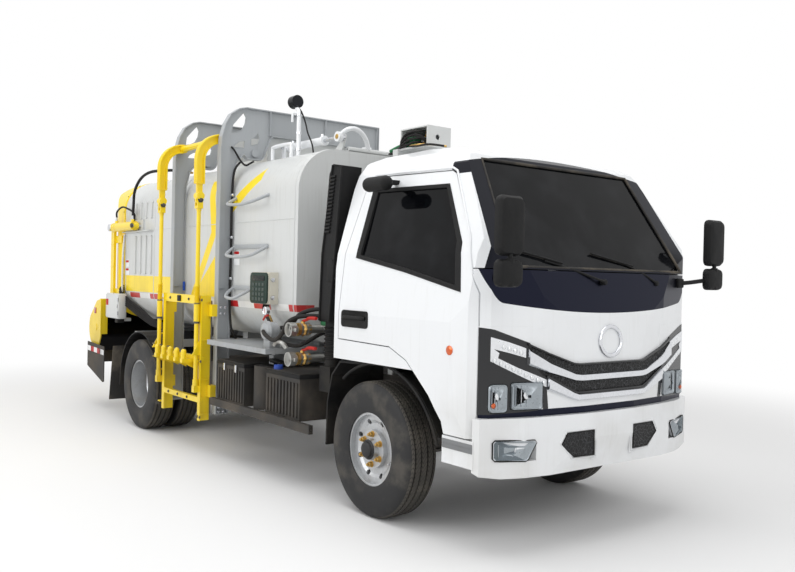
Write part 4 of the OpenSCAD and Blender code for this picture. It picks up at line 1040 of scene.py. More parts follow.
def makeHubs():
    nut = wheelNut()
    for side, word in ((-1, "right"), (1, "left")):
        x, y = wheels["frontX"], side * wheels["frontY"]
        way = "-y" if side < 0 else "+y"
        repeatPart("frontNuts" + word, nut, ringPlaces(x, y + side * 71.5, 86, wheels["nuts"], 0.5), way,
                   "brass", "wheel_front_" + word)
        shape = Shape()
        profile = [(side * a, r) for a, r in wheels["frontCap"]]
        shape.lathe("hubBlack", (x, y, wheels["hubZ"]), "y", profile, 32)
        profile = [(0, 4), (side * 22, 4), (side * 24, 3), (side * 24, 0)]
        shape.lathe("steelRod", (x + 165 * 0.92, y + side * 50, wheels["hubZ"] - 60), "y", profile, 10)
        shape.piece("hubCap" + word, "wheel_front_" + word, "cast")
        x, y = wheels["rearX"], side * wheels["rearY"]
        repeatPart("rearNuts" + word, nut, ringPlaces(x, y + side * 12.5, 124, wheels["nuts"], 0.2), way,
                   "brass", "wheels_rear_" + word, 0.8)
        shape = Shape()
        profile = [(side * a, r) for a, r in wheels["rearCap"]]
        shape.lathe("rimSilver", (x, y, wheels["hubZ"]), "y", profile, 32)
        shape.piece("rearHubCap" + word, "wheels_rear_" + word, "rim_silver")
        repeatPart("rearHubBolts" + word, bolt, ringPlaces(x, y + side * 103, 43, 8), way, "steelRod",
                   "wheels_rear_" + word, 0.7)


for side, word in ((-1, "right"), (1, "left")):
    makeTyre("frontTyre" + word, wheels["frontX"], side * wheels["frontY"], "wheel_front_" + word,
             "tyre_front_" + word)
    makeTyre("rearTyres" + word, wheels["rearX"], side * wheels["rearY"], "wheels_rear_" + word,
             "tyres_rear_" + word, wheels["dual"])
makeHubs()
print("wheels made")

# doors, mirrors and seats

cabSide = {"z": (400, 700, 1150, 1500, 1980, 2060, 2110), "y": (855, 876, 880, 840, 705, 650, 550)}
door = {"handle": (-268, -4, 1072, 1170),
        "window": [(-175, 1480), (300, 1400), (745, 1310), (708, 1555), (505, 1865), (-165, 1880)],
        "drip": [(830, 1390), (775, 1570), (552, 1932), (510, 1952), (-190, 1968)]}


def sideY(z):
    return between(z, cabSide["z"], cabSide["y"])


def along(points, closed=False, gap=40):
    path = []
    ring = points + [points[0]] if closed else points
    for (a0, b0), (a1, b1) in zip(ring, ring[1:]):
        count = max(1, int(math.hypot(a1 - a0, b1 - b0) / gap))
        path += [(a0 + (a1 - a0) * k / count, b0 + (b1 - b0) * k / count) for k in range(count)]
    return path if closed else path + [points[-1]]


def makeDoorTrim(side, word):
    shape = Shape()
    # flat black seal round the window, rolled at both edges
    pane = along(door["window"], True)
    rings = [[(x + (280 - x) * shrink, side * (sideY(z) + proud), z + (1650 - z) * shrink) for x, z in pane]
             for shrink, proud in ((-0.025, 0), (-0.022, 4), (0.06, 4), (0.075, 1), (0.08, -12))]
    shape.skin("plasticBlack", rings, capped=False)
    x0, x1, z0, z1 = door["handle"]
    outer = roundedOutline(x0, z0, x1, z1, 22)
    middle = ((x0 + x1) / 2, (z0 + z1) / 2)
    rings = [[(x, side * (880 + proud), z) for x, z in grown(outer, middle, grow)]
             for grow, proud in ((1.02, -6), (1.0, 5), (0.95, 7), (0.84, 2.5), (0.5, 1.5))]
    shape.skin("plasticBlack", rings)
    grip = [(x0 + 28, 882, 1128), (x0 + 60, 896, 1130), (x1 - 60, 898, 1130), (x1 - 28, 884, 1128)]
    shape.tube("plasticBlack", [(x, side * y, z) for x, y, z in smoothPath(grip)], 11, 10)
    profile = [(0, 0), (0, 10), (side * 4, 10), (side * 5, 8), (side * 5, 0)]
    shape.lathe("steelRod", (x1 - 40, side * 872, 1095), "y", profile, 16)
    return shape.piece("doorTrim" + word, "door_" + word, "plastic_black")


def makeCabTrim():
    shape = Shape()
    for side in (-1, 1):
        drip = [(x, side * (sideY(z) + 2), z + 4) for x, z in along(door["drip"])]
        shape.tube("paintWhite", drip, 6, 8)
        # treads of the cab step, and a rubber lip along the wheel arch
        for k in range(9):
            x = 652 + k * 24
            shape.box("plasticGrey", (x, side * 800, 538), (x + 10, side * 866, 544), 1.5)
        shape.box("plasticGrey", (644, side * 861, 516), (866, side * 866, 562), 2)
        lip = [(x, side * 846, z) for x, z in arcPoints(60, 320, 559, 20, 128, 24)]
        shape.tube("plasticBlack", lip, 9, 8)
        profile = [(0, 24), (side * 5, 24), (side * 8, 18), (side * 8, 0)]
        shape.lathe("orangeLens", (700, side * 876, 1010), "y", profile)
    # rubber round the windscreen
    loop = along([(-700, 1436), (700, 1436), (600, 2006), (-600, 2006)], True, 60)
    path = [(586 + (2030 - z) * 0.61 if z > 1440 else 944, y, z) for y, z in loop]
    shape.tube("tyreRubber", path, 8, 8, closed=True)
    # roof ribs
    for y in (-420, -210, 0, 210, 420):
        shape.hose("paintWhite", [(-300, y, 2085), (-240, y, 2101), (60, y, 2104), (330, y, 2092),
                (380, y, 2080)], 10)
    return shape.piece("cabTrim", "truck", "plastic_black")


# each mirror: side, its glass and rod forward of the axle, its middle out from the centre line
mirror = {"mounts": ((-1, 1080, 1110, 880), (1, 960, 990, 980)),
          "heads": ((1480, 1760, 55), (1335, 1465, 50)), "half": 80}


def makeMirrors():
    shape = Shape()
    for side, x, rod, y in mirror["mounts"]:
        for z0, z1, depth in mirror["heads"]:
            low, high = sorted((side * (y - mirror["half"]), side * (y + mirror["half"])))
            outline = roundedOutline(low, z0, high, z1, 34, 5)
            middle = ((low + high) / 2, (z0 + z1) / 2)
            back = ((0.86, 5), (0.93, 0), (0.985, 3), (1.0, 14), (0.985, depth - 22), (0.9, depth - 7),
                    (0.7, depth - 1), (0.02, depth))
            glass = ((0.86, 6), (0.86, 3), (0.84, 2))
            for finish, levels in (("plasticBlack", back), ("mirrorGlass", glass)):
                shape.skin(finish, [[(x + at, a, b) for a, b in grown(outline, middle, grow)]
                                    for grow, at in levels])
        path = [(rod, side * y, 1342), (rod, side * y, 1500), (rod, side * y, 1740)]
        shape.tube("plasticBlack", path, 12, 12)
        bend = [(930, side * 712, 1372), (955, side * 780, 1378), (rod - 20, side * (y - 30), 1396),
                (rod, side * y, 1400)]
        shape.hose("plasticBlack", bend, 13, 12)
        for z in (1352, 1400, 1455):
            shape.disc("plasticBlack", (rod, side * y, z), "z", -14, 14, 20)
        shape.box("plasticBlack", (900, side * 690, 1345), (944, side * 745, 1400), 8)
    return shape.piece("doorMirrors", "truck", "plastic_black")


seat = {"places": ((-690, 230), (305, 690)), "lean": 99.3, "fill": 0.85}


def cushion(shape, low, high, crown=14, waist=0.03):
    # a crowned closed form; its sides draw in between the corners, and two sewn channels run along it
    nu, nv = 16, 12
    top, bottom = [], []
    for i in range(nu + 1):
        for j in range(nv + 1):
            u, v = i / nu, j / nv
            fu, fv = 2 * u - 1, 2 * v - 1
            pull = 1 - waist * (1 - fv * fv)
            pullOther = 1 - waist * (1 - fu * fu)
            x = (low[0] + high[0]) / 2 + (high[0] - low[0]) / 2 * fu * pull
            y = (low[1] + high[1]) / 2 + (high[1] - low[1]) / 2 * fv * pullOther
            rise = (1 - fu ** 4) * (1 - fv ** 4)
            channel = -5 * max(0, 1 - abs(abs(fv) - 0.55) * 16)
            top.append(shape.mesh.verts.new((x, y, high[2] - crown + crown * rise + channel)))
            bottom.append(shape.mesh.verts.new((x, y, low[2] + 6 - 6 * rise)))
    faces = []
    for i in range(nu):
        for j in range(nv):
            a, b = i * (nv + 1) + j, (i + 1) * (nv + 1) + j
            c, d = b + 1, a + 1
            faces.append(shape.mesh.faces.new([top[k] for k in (a, b, c, d)]))
            faces.append(shape.mesh.faces.new([bottom[k] for k in (d, c, b, a)]))
    rim = ([i * (nv + 1) for i in range(nu + 1)] + [nu * (nv + 1) + j for j in range(1, nv + 1)]
           + [i * (nv + 1) + nv for i in range(nu - 1, -1, -1)] + [j for j in range(nv - 1, 0, -1)])
    for k in range(len(rim)):
        a, b = rim[k], rim[(k + 1) % len(rim)]
        faces.append(shape.mesh.faces.new((top[a], top[b], bottom[b], bottom[a])))
    shape.keep(faces, "seatCloth", True)


def makeSeats():
    made = []
    for number, (y0, y1) in enumerate(seat["places"]):
        shape = Shape()
        cushion(shape, (-118, y0, 1112), (368, y1, 1220))
        made.append(shape.piece("seatCushion%d" % number, "truck", "seat_fabric"))
        heads = ((y0 + y1) / 2,) if number else (-480, -40)
        for part, (low, high) in enumerate((((0, y0, 0), (610, y1, 100)),) + tuple(
                ((600, y - 118, 8), (760, y + 118, 76)) for y in heads)):
            shape = Shape()
            cushion(shape, low, high, crown=16)
            lean = math.radians(seat["lean"])
            shape.mesh.transform(Matrix.Translation((-24, 0, 1112)) @ Matrix.Rotation(-lean, 4, "Y"))
            made.append(shape.piece("seatBack%d_%d" % (number, part), "truck", "seat_fabric"))
    shape = Shape()
    for y0, y1 in seat["places"]:
        shape.box("plasticBlack", (-100, y0 + 60, 911), (300, y1 - 60, 1110), 10)
    made.append(shape.piece("seatBases", "truck", "plastic_black"))
    for cushionPiece in made:
        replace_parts(cushionPiece, "seats")


for side, word in ((-1, "right"), (1, "left")):
    makeDoorTrim(side, word)
makeCabTrim()
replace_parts(makeMirrors(), "mirrors")
makeSeats()
print("cab fittings made")

# tank

tank = {"half": 745, "low": 900, "high": 2240, "corner": 300, "seamZ": 1750, "seam": (-1070, -4240),
        "rings": (-1062, -2960, -3530, -4240), "ribs": (-3990, -3860, -3730, -3600),
        "ribLevels": ((1850, 2010), (1340, 1700)), "plates": ((-1900, 1484, 110), (-4205, 1440, 70),
        (-4205, 1362, 70))}


def ringPath(x):
    loop = roundedOutline(-tank["half"], tank["low"], tank["half"], tank["high"], tank["corner"], 8)
    return [(x, y, z) for y, z in loop]


def makeTankTrim():
    shape = Shape()
    for x in tank["rings"]:
        shape.tube("paintGrey", ringPath(x), 5, 6, closed=True)
    for side in (-1, 1):
        y = side * (tank["half"] + 0.5)
        shape.tube("paintGrey", [(x, y, tank["seamZ"]) for x in steps(*tank["seam"], 20)], 3.2, 6)
        for x in tank["ribs"]:
            for z0, z1 in tank["ribLevels"]:
                rib = roundedOutline(x - 16, z0, x + 16, z1, 14, 3)
                shape.prism("paintGrey", "y", rib, side * 740, side * 757, 4)
        # ledge that carries the door's cylinders
        ledge = [(side * 744, 1742), (side * 790, 1742), (side * 790, 1736), (side * 744, 1728)]
        shape.prism("paintGrey", "x", ledge, -4250, -3560, 1)
        # small blank plates
        for x, z, high in tank["plates"]:
            plate = roundedOutline(x - 45, z - high / 2, x + 45, z + high / 2, 6, 2)
            strip = roundedOutline(x - 40, z + high / 2 - 26, x + 40, z + high / 2 - 5, 3, 2)
            shape.prism("paintWhite", "y", plate, side * 744, side * 747.5, 0.5)
            shape.prism("tapeRed", "y", strip, side * 747, side * 748.5)
    return shape.piece("tankTrim", "truck", "paint_grey")


hatch = {"cylY": -343, "cylZ": 2350, "eyeX": -1120, "collars": (-1835, -1352), "ports": (-1800, -1380),
         "ribs": (-1470, -1290, -1110)}


def makeRoofFittings():
    shape = Shape()
    rail = [(-1880, -470, 2236), (-1880, -470, 2318), (-1856, -470, 2342), (-1624, -470, 2342),
            (-1600, -470, 2318), (-1600, -470, 2236)]
    shape.hose("paintWhite", rail, 15, 12, 5)
    profile = [(-62, 0), (-62, 15), (-56, 16), (-56, 0)]
    shape.lathe("steelRod", (-1860, hatch["cylY"], hatch["cylZ"]), "y", profile, 16)
    return shape.piece("roofFittings", "truck", "paint_white")


def makeHatchTrim():
    shape = Shape()
    for x in hatch["ribs"]:
        shape.box("paintGrey", (x - 8, -300, 2262), (x + 8, 90, 2276), 2)
    path = [(x, y, 2246) for x, y in roundedOutline(-1492, -322, -1092, 104, 12, 3)]
    shape.tube("tyreRubber", path, 6, 6, closed=True)
    shape.disc("steelRod", (hatch["eyeX"], hatch["cylY"], hatch["cylZ"]), "y", -26, 26, 15)
    # curved arm from the cylinder's eye over to the lid
    arm = [(-1120, -366, 2330), (-1100, -354, 2372), (-1068, -322, 2402), (-1058, -270, 2408),
           (-1062, -215, 2388), (-1076, -165, 2346), (-1096, -128, 2284)]
    shape.hose("paintWhite", arm, 17, 12)
    shape.disc("paintWhite", (hatch["eyeX"], -368, hatch["cylZ"]), "y", -16, 16, 36, 24)
    profile = [(-20, 0), (-20, 17), (-14, 19), (-14, 0)]
    shape.lathe("brass", (hatch["eyeX"], -368, hatch["cylZ"]), "y", profile, 16)
    shape.box("paintWhite", (-1140, -156, 2260), (-1092, -100, 2300), 5)
    shape.piece("hatchTrim", "hatch_lid", "paint_grey")
    shape = Shape()
    for x in hatch["collars"]:
        shape.hoop("paintWhite", (x, hatch["cylY"], hatch["cylZ"]), "x", 14, 26, 36)
    for x in hatch["ports"]:
        shape.disc("steelRod", (x, hatch["cylY"], hatch["cylZ"] + 28), "z", 0, 22, 12, 6)
    return shape.piece("hatchCylinderTrim", "hatch_barrel", "paint_white")


mast = {"x": -1570, "y": -428, "lampX": -1622, "lampZ": 2660, "clamps": (2300, 2420, 2560)}


def makeLampHead():
    shape = Shape()
    profile = [(-38, 0), (-38, 22), (-30, 38), (-6, 46), (22, 47.5), (30, 47.5), (30, 41), (24, 38),
               (24, 0)]
    shape.lathe("plasticBlack", (mast["lampX"], mast["y"], mast["lampZ"]), "x", profile, 32)
    profile = [(24, 0), (24, 40), (28, 38), (31, 20), (32, 0)]
    shape.lathe("lampGlass", (mast["lampX"], mast["y"], mast["lampZ"]), "x", profile, 32)
    for z in mast["clamps"]:
        shape.hoop("steelRod", (mast["x"], mast["y"], z), "z", 9, 17, 20.5)
    path = [(-1600, mast["y"], 2622), (-1552, -420, 2580), (-1525, -400, 2500), (-1500, -392, 2420),
            (-1440, -390, 2330), (-1420, -388, 2254)]
    shape.hose("cableBlack", path, 6)
    shape.hose("paintWhite", [(mast["x"], mast["y"], 2560), (-1585, -470, 2566), (-1588, -474, 2500)], 9)
    return shape.piece("lampHead", "truck", "plastic_black")


tray = {"hoses": 4, "loops": 3, "leads": 2}


def makeValveTray():
    # wiring, valve block and hoses in the tray over the cab's rear
    shape = Shape()
    shape.box("valveGreen", (-400, -330, 2194), (-300, -230, 2262), 6)
    shape.box("paintMidGrey", (-280, -300, 2194), (-190, -220, 2270), 5)
    for k in range(tray["hoses"]):
        z = 2212 + k * 22
        profile = [(0, 0), (0, 9), (-14, 9), (-14, 6), (-24, 6), (-24, 0)]
        shape.lathe("brass", (-236 + k * 10, -302, z), "y", profile, 12)
        hose = [(-236 + k * 10, -326, z), (-260 + k * 8, -362, z + 6), (-320, -372 - k * 4, z - 4),
                (-400, -366, 2196 + k * 12), (-470, -340 + k * 10, 2200), (-540, -300, 2196),
                (-640, -280 + k * 16, 2188)]
        shape.hose("cableBlack", hose, 7)
    for k in range(tray["loops"]):
        loop = [(-390 + k * 20, -340, 2230), (-350, -366 - k * 4, 2262 - k * 12),
                (-270, -368, 2272 - k * 16), (-190 - k * 10, -350, 2238), (-200, -330, 2206)]
        shape.hose("cableBlack", loop, 5)
    for k in range(tray["leads"]):
        lead = [(-300, -372, 2194), (-220 + k * 20, -384, 2186 + k * 6), (-120, -378 + k * 10, 2186),
                (-60, -360, 2178), (-20, -330 + k * 20, 2170)]
        shape.hose("brass" if k else "cableBlack", lead, 7)
    shape.hose("valveGreen", [(-400, -300, 2230), (-480, -320, 2215), (-560, -330, 2192)], 11)
    path = [(-470, 330, 2190), (-560, 330, 2250), (-800, 300, 2262), (-1010, 250, 2250), (-1090, 200, 2236)]
    shape.hose("cableBlack", path, 12, 10)
    return shape.piece("valveTray", "truck", "plastic_black")


keypad = {"rows": 4, "columns": 4, "at": (-1390, 1250)}


def makeControlBox():
    shape = Shape()
    shape.prism("keypadGreen", "y", roundedOutline(-1511, 1163, -1269, 1379, 26, 5), -822, -834, 4)
    shape.prism("screenDark", "y", roundedOutline(-1480, 1322, -1300, 1358, 8, 2), -833, -837, 1)
    # toggle clips on the side of the case
    for z in (1206, 1330):
        shape.box("steelRod", (-1268, -800, z - 14), (-1258, -776, z + 14), 3)
        shape.tube("steelRod", [(-1256, -812, z), (-1254, -784, z)], 4, 6)
    for k in range(3):
        hose = [(-1330 - k * 34, -780, 1164), (-1316 - k * 26, -800, 1110), (-1272 - k * 12, -800, 1050),
                (-1240, -790, 985), (-1236 + k * 16, -740, 905)]
        shape.hose("cableBlack", hose, 8)
    # gauge under the box
    profile = [(0, 0), (0, 30), (-24, 30), (-27, 27), (-22, 25), (-22, 0)]
    shape.lathe("steelRod", (-1230, -842, 1118), "y", profile, 24)
    shape.disc("paintWhite", (-1230, -863, 1118), "y", 0, -2, 24, 24)
    shape.box("tapeRed", (-1231, -868, 1106), (-1229, -866, 1136))
    shape.hose("brass", [(-1230, -830, 1088), (-1226, -812, 1050), (-1224, -800, 1010)], 7)
    shape.piece("controlFittings", "truck", "plastic_grey")
    button = Shape()
    button.prism("keyGrey", "z", roundedOutline(-15, -11, 15, 11, 4, 2), 0, 4, 1)
    part = smallMesh("button", button)
    places = [(keypad["at"][0] - 69 + c * 46, -834, keypad["at"][1] - 56 + r * 34)
              for r in range(keypad["rows"]) for c in range(keypad["columns"])]
    repeatPart("keypadButtons", part, places, "-y", "keyGrey", "truck")


pipes = {"x": -800, "mouthY": -930, "levels": (1019, 830), "valveY": -868, "filter": (-1172, -850, 985),
         "hoses": (((-1172, -790, 1000), (-1100, -790, 1010), (-990, -840, 985), (-905, -850, 1030),
                    (-850, -820, 1110), (-760, -760, 1148), (-640, -700, 1150)),
                   ((-1172, -906, 985), (-1120, -915, 960), (-1010, -912, 935), (-930, -900, 985),
                    (-890, -880, 1060), (-820, -830, 1100), (-700, -740, 1110)),
                   ((-1200, -800, 950), (-1120, -780, 905), (-980, -760, 896), (-880, -740, 930),
                    (-840, -640, 990), (-830, -520, 1000)))}


def makePipework():
    shape = Shape()
    x, y0 = pipes["x"], pipes["mouthY"]
    for z in pipes["levels"]:
        # end coupling with its cap and ears
        profile = [(0, 0), (0, 38), (4, 44), (18, 45), (18, 39), (32, 39), (32, 46), (44, 46), (44, 30),
                   (50, 28)]
        shape.lathe("pipeSteel", (x, y0, z), "y", profile, 32)
        for way in (1, -1):
            shape.box("pipeSteel", (x + 44 * way - 6, y0 + 14, z - 12), (x + 58 * way + 6, y0 + 38, z + 12),
                      3)
        # ball valve and its lever
        profile = [(0, 30), (0, 41), (18, 43), (22, 36), (46, 48), (70, 36), (74, 43), (92, 41), (92, 30)]
        shape.lathe("brass", (x, pipes["valveY"], z), "y", profile, 8)
        shape.lathe("brass", (x, -822, z + 36), "z", [(0, 0), (0, 15), (16, 13), (16, 0)], 16)
        lever = [(x, -822, z + 54), (x + 40, -822, z + 62), (x + 90, -830, z + 76), (x + 190, -842, z + 80)]
        shape.hose("handleRed", lever, [8 + 3 * min(1, k / 12) for k in range(19)])
        for y in (-560, -546):
            shape.lathe("pipeSteel", (x, y, z), "y", [(0, 27), (0, 44), (10, 44), (12, 27)], 24)
    # round drum filter on the platform with its ring clamp
    profile = [(-52, 0), (-52, 40), (-46, 56), (-36, 62), (-30, 68), (-18, 68), (-12, 62), (40, 60),
               (52, 46), (56, 0)]
    shape.lathe("paintMidGrey", pipes["filter"], "y", profile, 36)
    shape.lathe("pipeSteel", pipes["filter"], "y", [(-60, 0), (-60, 14), (-50, 16), (-50, 0)], 16)
    shape.box("paintMidGrey", (-1215, -880, 868), (-1129, -800, 930), 4)
    for hose in pipes["hoses"]:
        shape.hose("cableBlack", hose, 14, 10, 8)
    path = [(-1040, -890, 900), (-1000, -895, 925), (-930, -900, 925), (-905, -880, 890)]
    shape.hose("pipeSteel", path, 15, 10)
    for x, y, z in ((-700, -720, 1150), (-740, -700, 1106)):
        shape.lathe("brass", (x, y, z), "x", [(0, 12), (0, 19), (40, 19), (40, 12)], 8)
    shape.disc("valveGreen", (-700, -735, 1064), "x", 0, 80, 18, 12)
    shape.tube("handleRed", [(-1110, -905, 1095), (-1150, -905, 1086), (-1185, -900, 1060)], 7, 8)
    return shape.piece("pipework", "truck", "pipe_steel")


# ribs of the battery and tool boxes: name, first and last rib, outer face and the way that it looks
sideBox = {"ribs": 9, "ribZ": 562, "rows": (("rearBoxRibs", -1870, -1510, -880, "-y"),
                                            ("frontBoxRibs", -1170, -790, -860, "-y"),
                                            ("leftBoxRibs", -1860, -1040, 860, "+y"))}


def makeSideBoxes():
    shape = Shape()
    # lids, latches, cap of the reagent tank and the guard rail's ends
    shape.box("plasticBlack", (-1905, -886, 700), (-1475, -400, 728), 6)
    shape.box("plasticBlack", (-1205, -866, 700), (-755, -400, 728), 6)
    profile = [(0, 0), (0, 30), (8, 32), (30, 30), (34, 26), (34, 0)]
    shape.lathe("capBlue", (-1106, -820, 728), "z", profile, 20)
    shape.lathe("plasticBlack", (-1360, -760, 728), "z", [(0, 0), (0, 60), (10, 60), (12, 40), (12, 0)], 24)
    for x in (-1780, -1600):
        shape.box("steelRod", (x - 14, -892, 660), (x + 14, -886, 712), 2)
    for k in range(3):
        hose = [(-1360 + k * 24, -720, 738), (-1330 + k * 20, -760, 772), (-1250, -770 + k * 20, 770),
                (-1180 + k * 20, -700, 742)]
        shape.hose("cableBlack", hose, 10)
    shape.tube("paintGrey", [(-1960, -895, 412), (-560, -895, 412)], 4, 6)
    shape.piece("boxFittings", "truck", "plastic_black")
    rib = Shape()
    rib.prism("chassisBlack", "z", roundedOutline(-8, -112, 8, 112, 7, 2), -1, 9, 2)
    part = smallMesh("boxRib", rib)
    for name, x0, x1, y, way in sideBox["rows"]:
        places = [(x, y, sideBox["ribZ"]) for x in steps(x0, x1, sideBox["ribs"])]
        repeatPart(name, part, places, way, "chassisBlack", "truck")


intake = {"slats": 15, "rings": 9}


def makeIntake():
    # slats down the duct's outer face and the bellows at its foot
    slat = Shape()
    slat.prism("plasticBlack", "x", [(-10, -1), (10, -1), (9, 7), (-3, 12)], -26, 26, 1)
    part = smallMesh("slat", slat)
    places = [(-565 + 55 * t, -800, 1640 + 340 * t) for t in steps(0, 1, intake["slats"])]
    repeatPart("intakeSlats", part, places, "-y", "plasticBlack", "truck")
    ring = Shape()
    profile = [(-9, 50), (-4, 58), (0, 61), (4, 58), (9, 50)]
    ring.lathe("plasticBlack", (0, 0, 0), "z", profile, 28, closed=True)
    hoop = smallMesh("bellowsRing", ring)
    places = [(-580, -730, 850 + k * 24) for k in range(intake["rings"])]
    repeatPart("intakeBellows", hoop, places, "+z", "plasticBlack", "truck")
    shape = Shape()
    path = [(x, -803, z) for x, z in ((-618, 1500), (-520, 2052), (-416, 2038), (-474, 1500), (-522, 1086),
            (-636, 1086))]
    shape.tube("plasticBlack", path, 7, 8, closed=True)
    shape.prism("plasticBlack", "y", roundedOutline(-560, 1330, -490, 1470, 20, 3), -796, -806, 3)
    return shape.piece("intakeTrim", "truck", "plastic_black")


loops = {"places": ((-1930, -1424, 1930, 38), (-1930, -1424, 1550, 0), (-1930, -1640, 1245, 0)),
         "reach": 100, "drop": 62}


def makeFootLoops():
    # bars along the tank's side, each with a lower outer bar bent round to meet it
    shape = Shape()
    for x0, x1, z, inset in loops["places"]:
        y0, y1 = -tank["half"] - 6 + inset, -tank["half"] - loops["reach"]
        outer = [(x0, y0, z + 16), (x0 + 12, (y0 + y1) / 2, z - 14), (x0 + 60, y1, z - loops["drop"] * 0.8),
                 ((x0 + x1) / 2, y1, z - loops["drop"]), (x1 - 70, y1, z - loops["drop"] * 0.8),
                 (x1 - 14, (y0 + y1) / 2, z - 14), (x1, y0, z + 16)]
        shape.hose("paintMidGrey", outer, 12, 10, 5)
        shape.prism("paintMidGrey", "y", roundedOutline(x0 - 10, z + 2, x1 + 10, z + 34, 15, 4), y0 + 8,
                    y0 - 10, 3)
    return shape.piece("footLoops", "truck", "paint_mid_grey")


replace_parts(makeFootLoops(), "tank_steps")
makeTankTrim()
makeRoofFittings()
makeHatchTrim()
makeLampHead()
makeValveTray()
makeControlBox()
makePipework()
makeSideBoxes()
makeIntake()
print("tank and its fittings made")

# side lifter: posts and plates

lift = {"postFront": -2020, "postRear": -2870, "armFront": -2085, "armRear": -2805, "rodY": -975,
        "clevisZ": 1915, "bendY": -800, "bendZ": 2215, "bendR": 175, "threads": 26}


def makeFrameTrim():
    shape = Shape()
    openings = ([(-752, 2440), (-745, 2500), (-706, 2547), (-655, 2606), (-634, 2570), (-642, 2520),
                 (-668, 2470), (-712, 2446)],
                [(-733, 2330), (-715, 2360), (-680, 2382), (-642, 2388), (-644, 2334)],
                [(-588, 2358), (-590, 2408), (-560, 2428), (-530, 2458), (-514, 2418), (-526, 2378)])
    for x in (lift["postFront"], lift["postRear"]):
        for outline in openings:
            # rolled edge of an opening in the plate
            face = 6 if x == lift["postFront"] else -6
            shape.tube("paintMidGrey", [(x + face, y, z) for y, z in outline], 3, 6, closed=True)
        # joint plates and seams down the post
        shape.box("paintMidGrey", (x - 29, -849.4, 1252), (x + 29, -790, 1256), 0.5)
        for y in (80, 600):
            shape.box("paintMidGrey", (x - 29, y - 4, 2450), (x + 29, y + 4, 2640), 1)
    shape.piece("frameTrim", "truck", "paint_mid_grey")
    places = [(lift["postFront"] + 30, y, z) for y in (-826, -790)
              for z in (320, 352, 452, 498, 1062, 1108)]
    repeatPart("postBolts", bolt, places, "+x", "steelRod", "truck", 0.8)


def makeArmTrim():
    shape = Shape()
    for x in (lift["armFront"], lift["armRear"]):
        # flanges along both edges of the bent arm make its section an I
        for radius in (lift["bendR"] + 30, lift["bendR"] - 30):
            bend = arcPoints(lift["bendY"], lift["bendZ"], radius, 180, 90, 16)
            path = [(lift["bendY"] - radius, 2040)] + bend
            for shift in (-18, 0, 18):
                shape.tube("paintYellow", [(x + shift, y, z) for y, z in path], 7, 6)
        # pin, washers and split pin at the clevis
        shape.disc("paintYellow", (x, lift["rodY"], lift["clevisZ"] + 30), "x", -34, 34, 30, 24)
        head = [(-44, 0), (-44, 12), (-40, 14), (-32, 14), (-32, 24), (-28, 24), (-28, 0)]
        end = [(28, 0), (28, 24), (32, 24), (32, 14), (42, 14), (44, 11), (44, 0)]
        for profile, sides in ((head, 16), (end, 6)):
            shape.lathe("castIron", (x, lift["rodY"], lift["clevisZ"]), "x", profile, sides)
    # white sensor block on the front arm's tip
    x = lift["armFront"]
    shape.box("paintWhite", (x - 24, -806, 2330), (x + 30, -770, 2378), 5)
    shape.lathe("plasticBlack", (x + 30, -788, 2350), "x", [(0, 0), (0, 14), (12, 14), (16, 8), (16, 0)],
                16)
    return shape.piece("armTrim", "lifter_arms", "paint_yellow")


def makeRodTrim():
    thread = Shape()
    profile = [(-2.6, 15), (-1.8, 18.5), (-0.4, 20.5), (0.4, 20.5), (1.8, 18.5), (2.6, 15)]
    thread.lathe("steelRod", (0, 0, 0), "z", profile, 16, closed=True)
    part = smallMesh("thread", thread)
    places = [(x, lift["rodY"], 1138 + k * 5) for x in (lift["armFront"], lift["armRear"])
              for k in range(lift["threads"])]
    repeatPart("rodThreads", part, places, "+z", "paintYellow", "lifter_carriage")
    shape = Shape()
    for x in (lift["armFront"], lift["armRear"]):
        for z in (1132, 992):
            shape.hoop("castIron", (x, lift["rodY"], z), "z", 8, 16, 22, 6)
        for z in (1270, 1840):
            shape.hoop("paintYellow", (x, lift["rodY"], z), "z", 7, 15, 19.5, 16)
    return shape.piece("rodTrim", "lifter_carriage", "paint_yellow")


comb = {"teeth": 5, "firstTooth": -2760, "pitch": 150, "ends": (-2850, -2070)}


def makeCarriageTrim():
    shape = Shape()
    x0, x1 = comb["ends"]
    # welded gussets, rollers and rubber buffers of the comb
    for x in (x0, x1):
        for z in (300, 560, 860, 1150):
            shape.box("paintYellow", (x - 20, -950, z - 5), (x + 20, -876, z + 5), 1)
        shape.prism("paintYellow", "x", [(-953, 745), (-1015, 745), (-953, 860)], x - 6, x + 6, 1)
    for k in range(comb["teeth"]):
        x = comb["firstTooth"] + k * comb["pitch"]
        shape.prism("paintYellow", "x", [(-951, 684), (-1048, 684), (-951, 636)], x - 4, x + 4, 1)
        shape.lathe("castIron", (x, -1038, 782), "z", [(0, 0), (0, 12), (7, 11), (9, 0)], 16)
    shape.tube("paintYellow", [(x0, -966, 700), (x1, -966, 700)], 9, 8)
    shape.tube("castIron", [(x1 + 40, -880, z) for z in range(300, 1180, 22)], 5, 6)
    shape.box("plasticBlack", (-2490, -962, 1140), (-2430, -950, 1186), 3)
    shape.piece("carriageTrim", "lifter_carriage", "paint_yellow")
    places = [(x, -954, z) for x in (-2880, -2835, -2085, -2040) for z in (280, 700, 1162)]
    places += [(x, -954, z) for z in (1162, 405) for x in (-2640, -2460, -2280)]
    repeatPart("carriageBolts", bolt, places, "-y", "castIron", "lifter_carriage", 0.85)


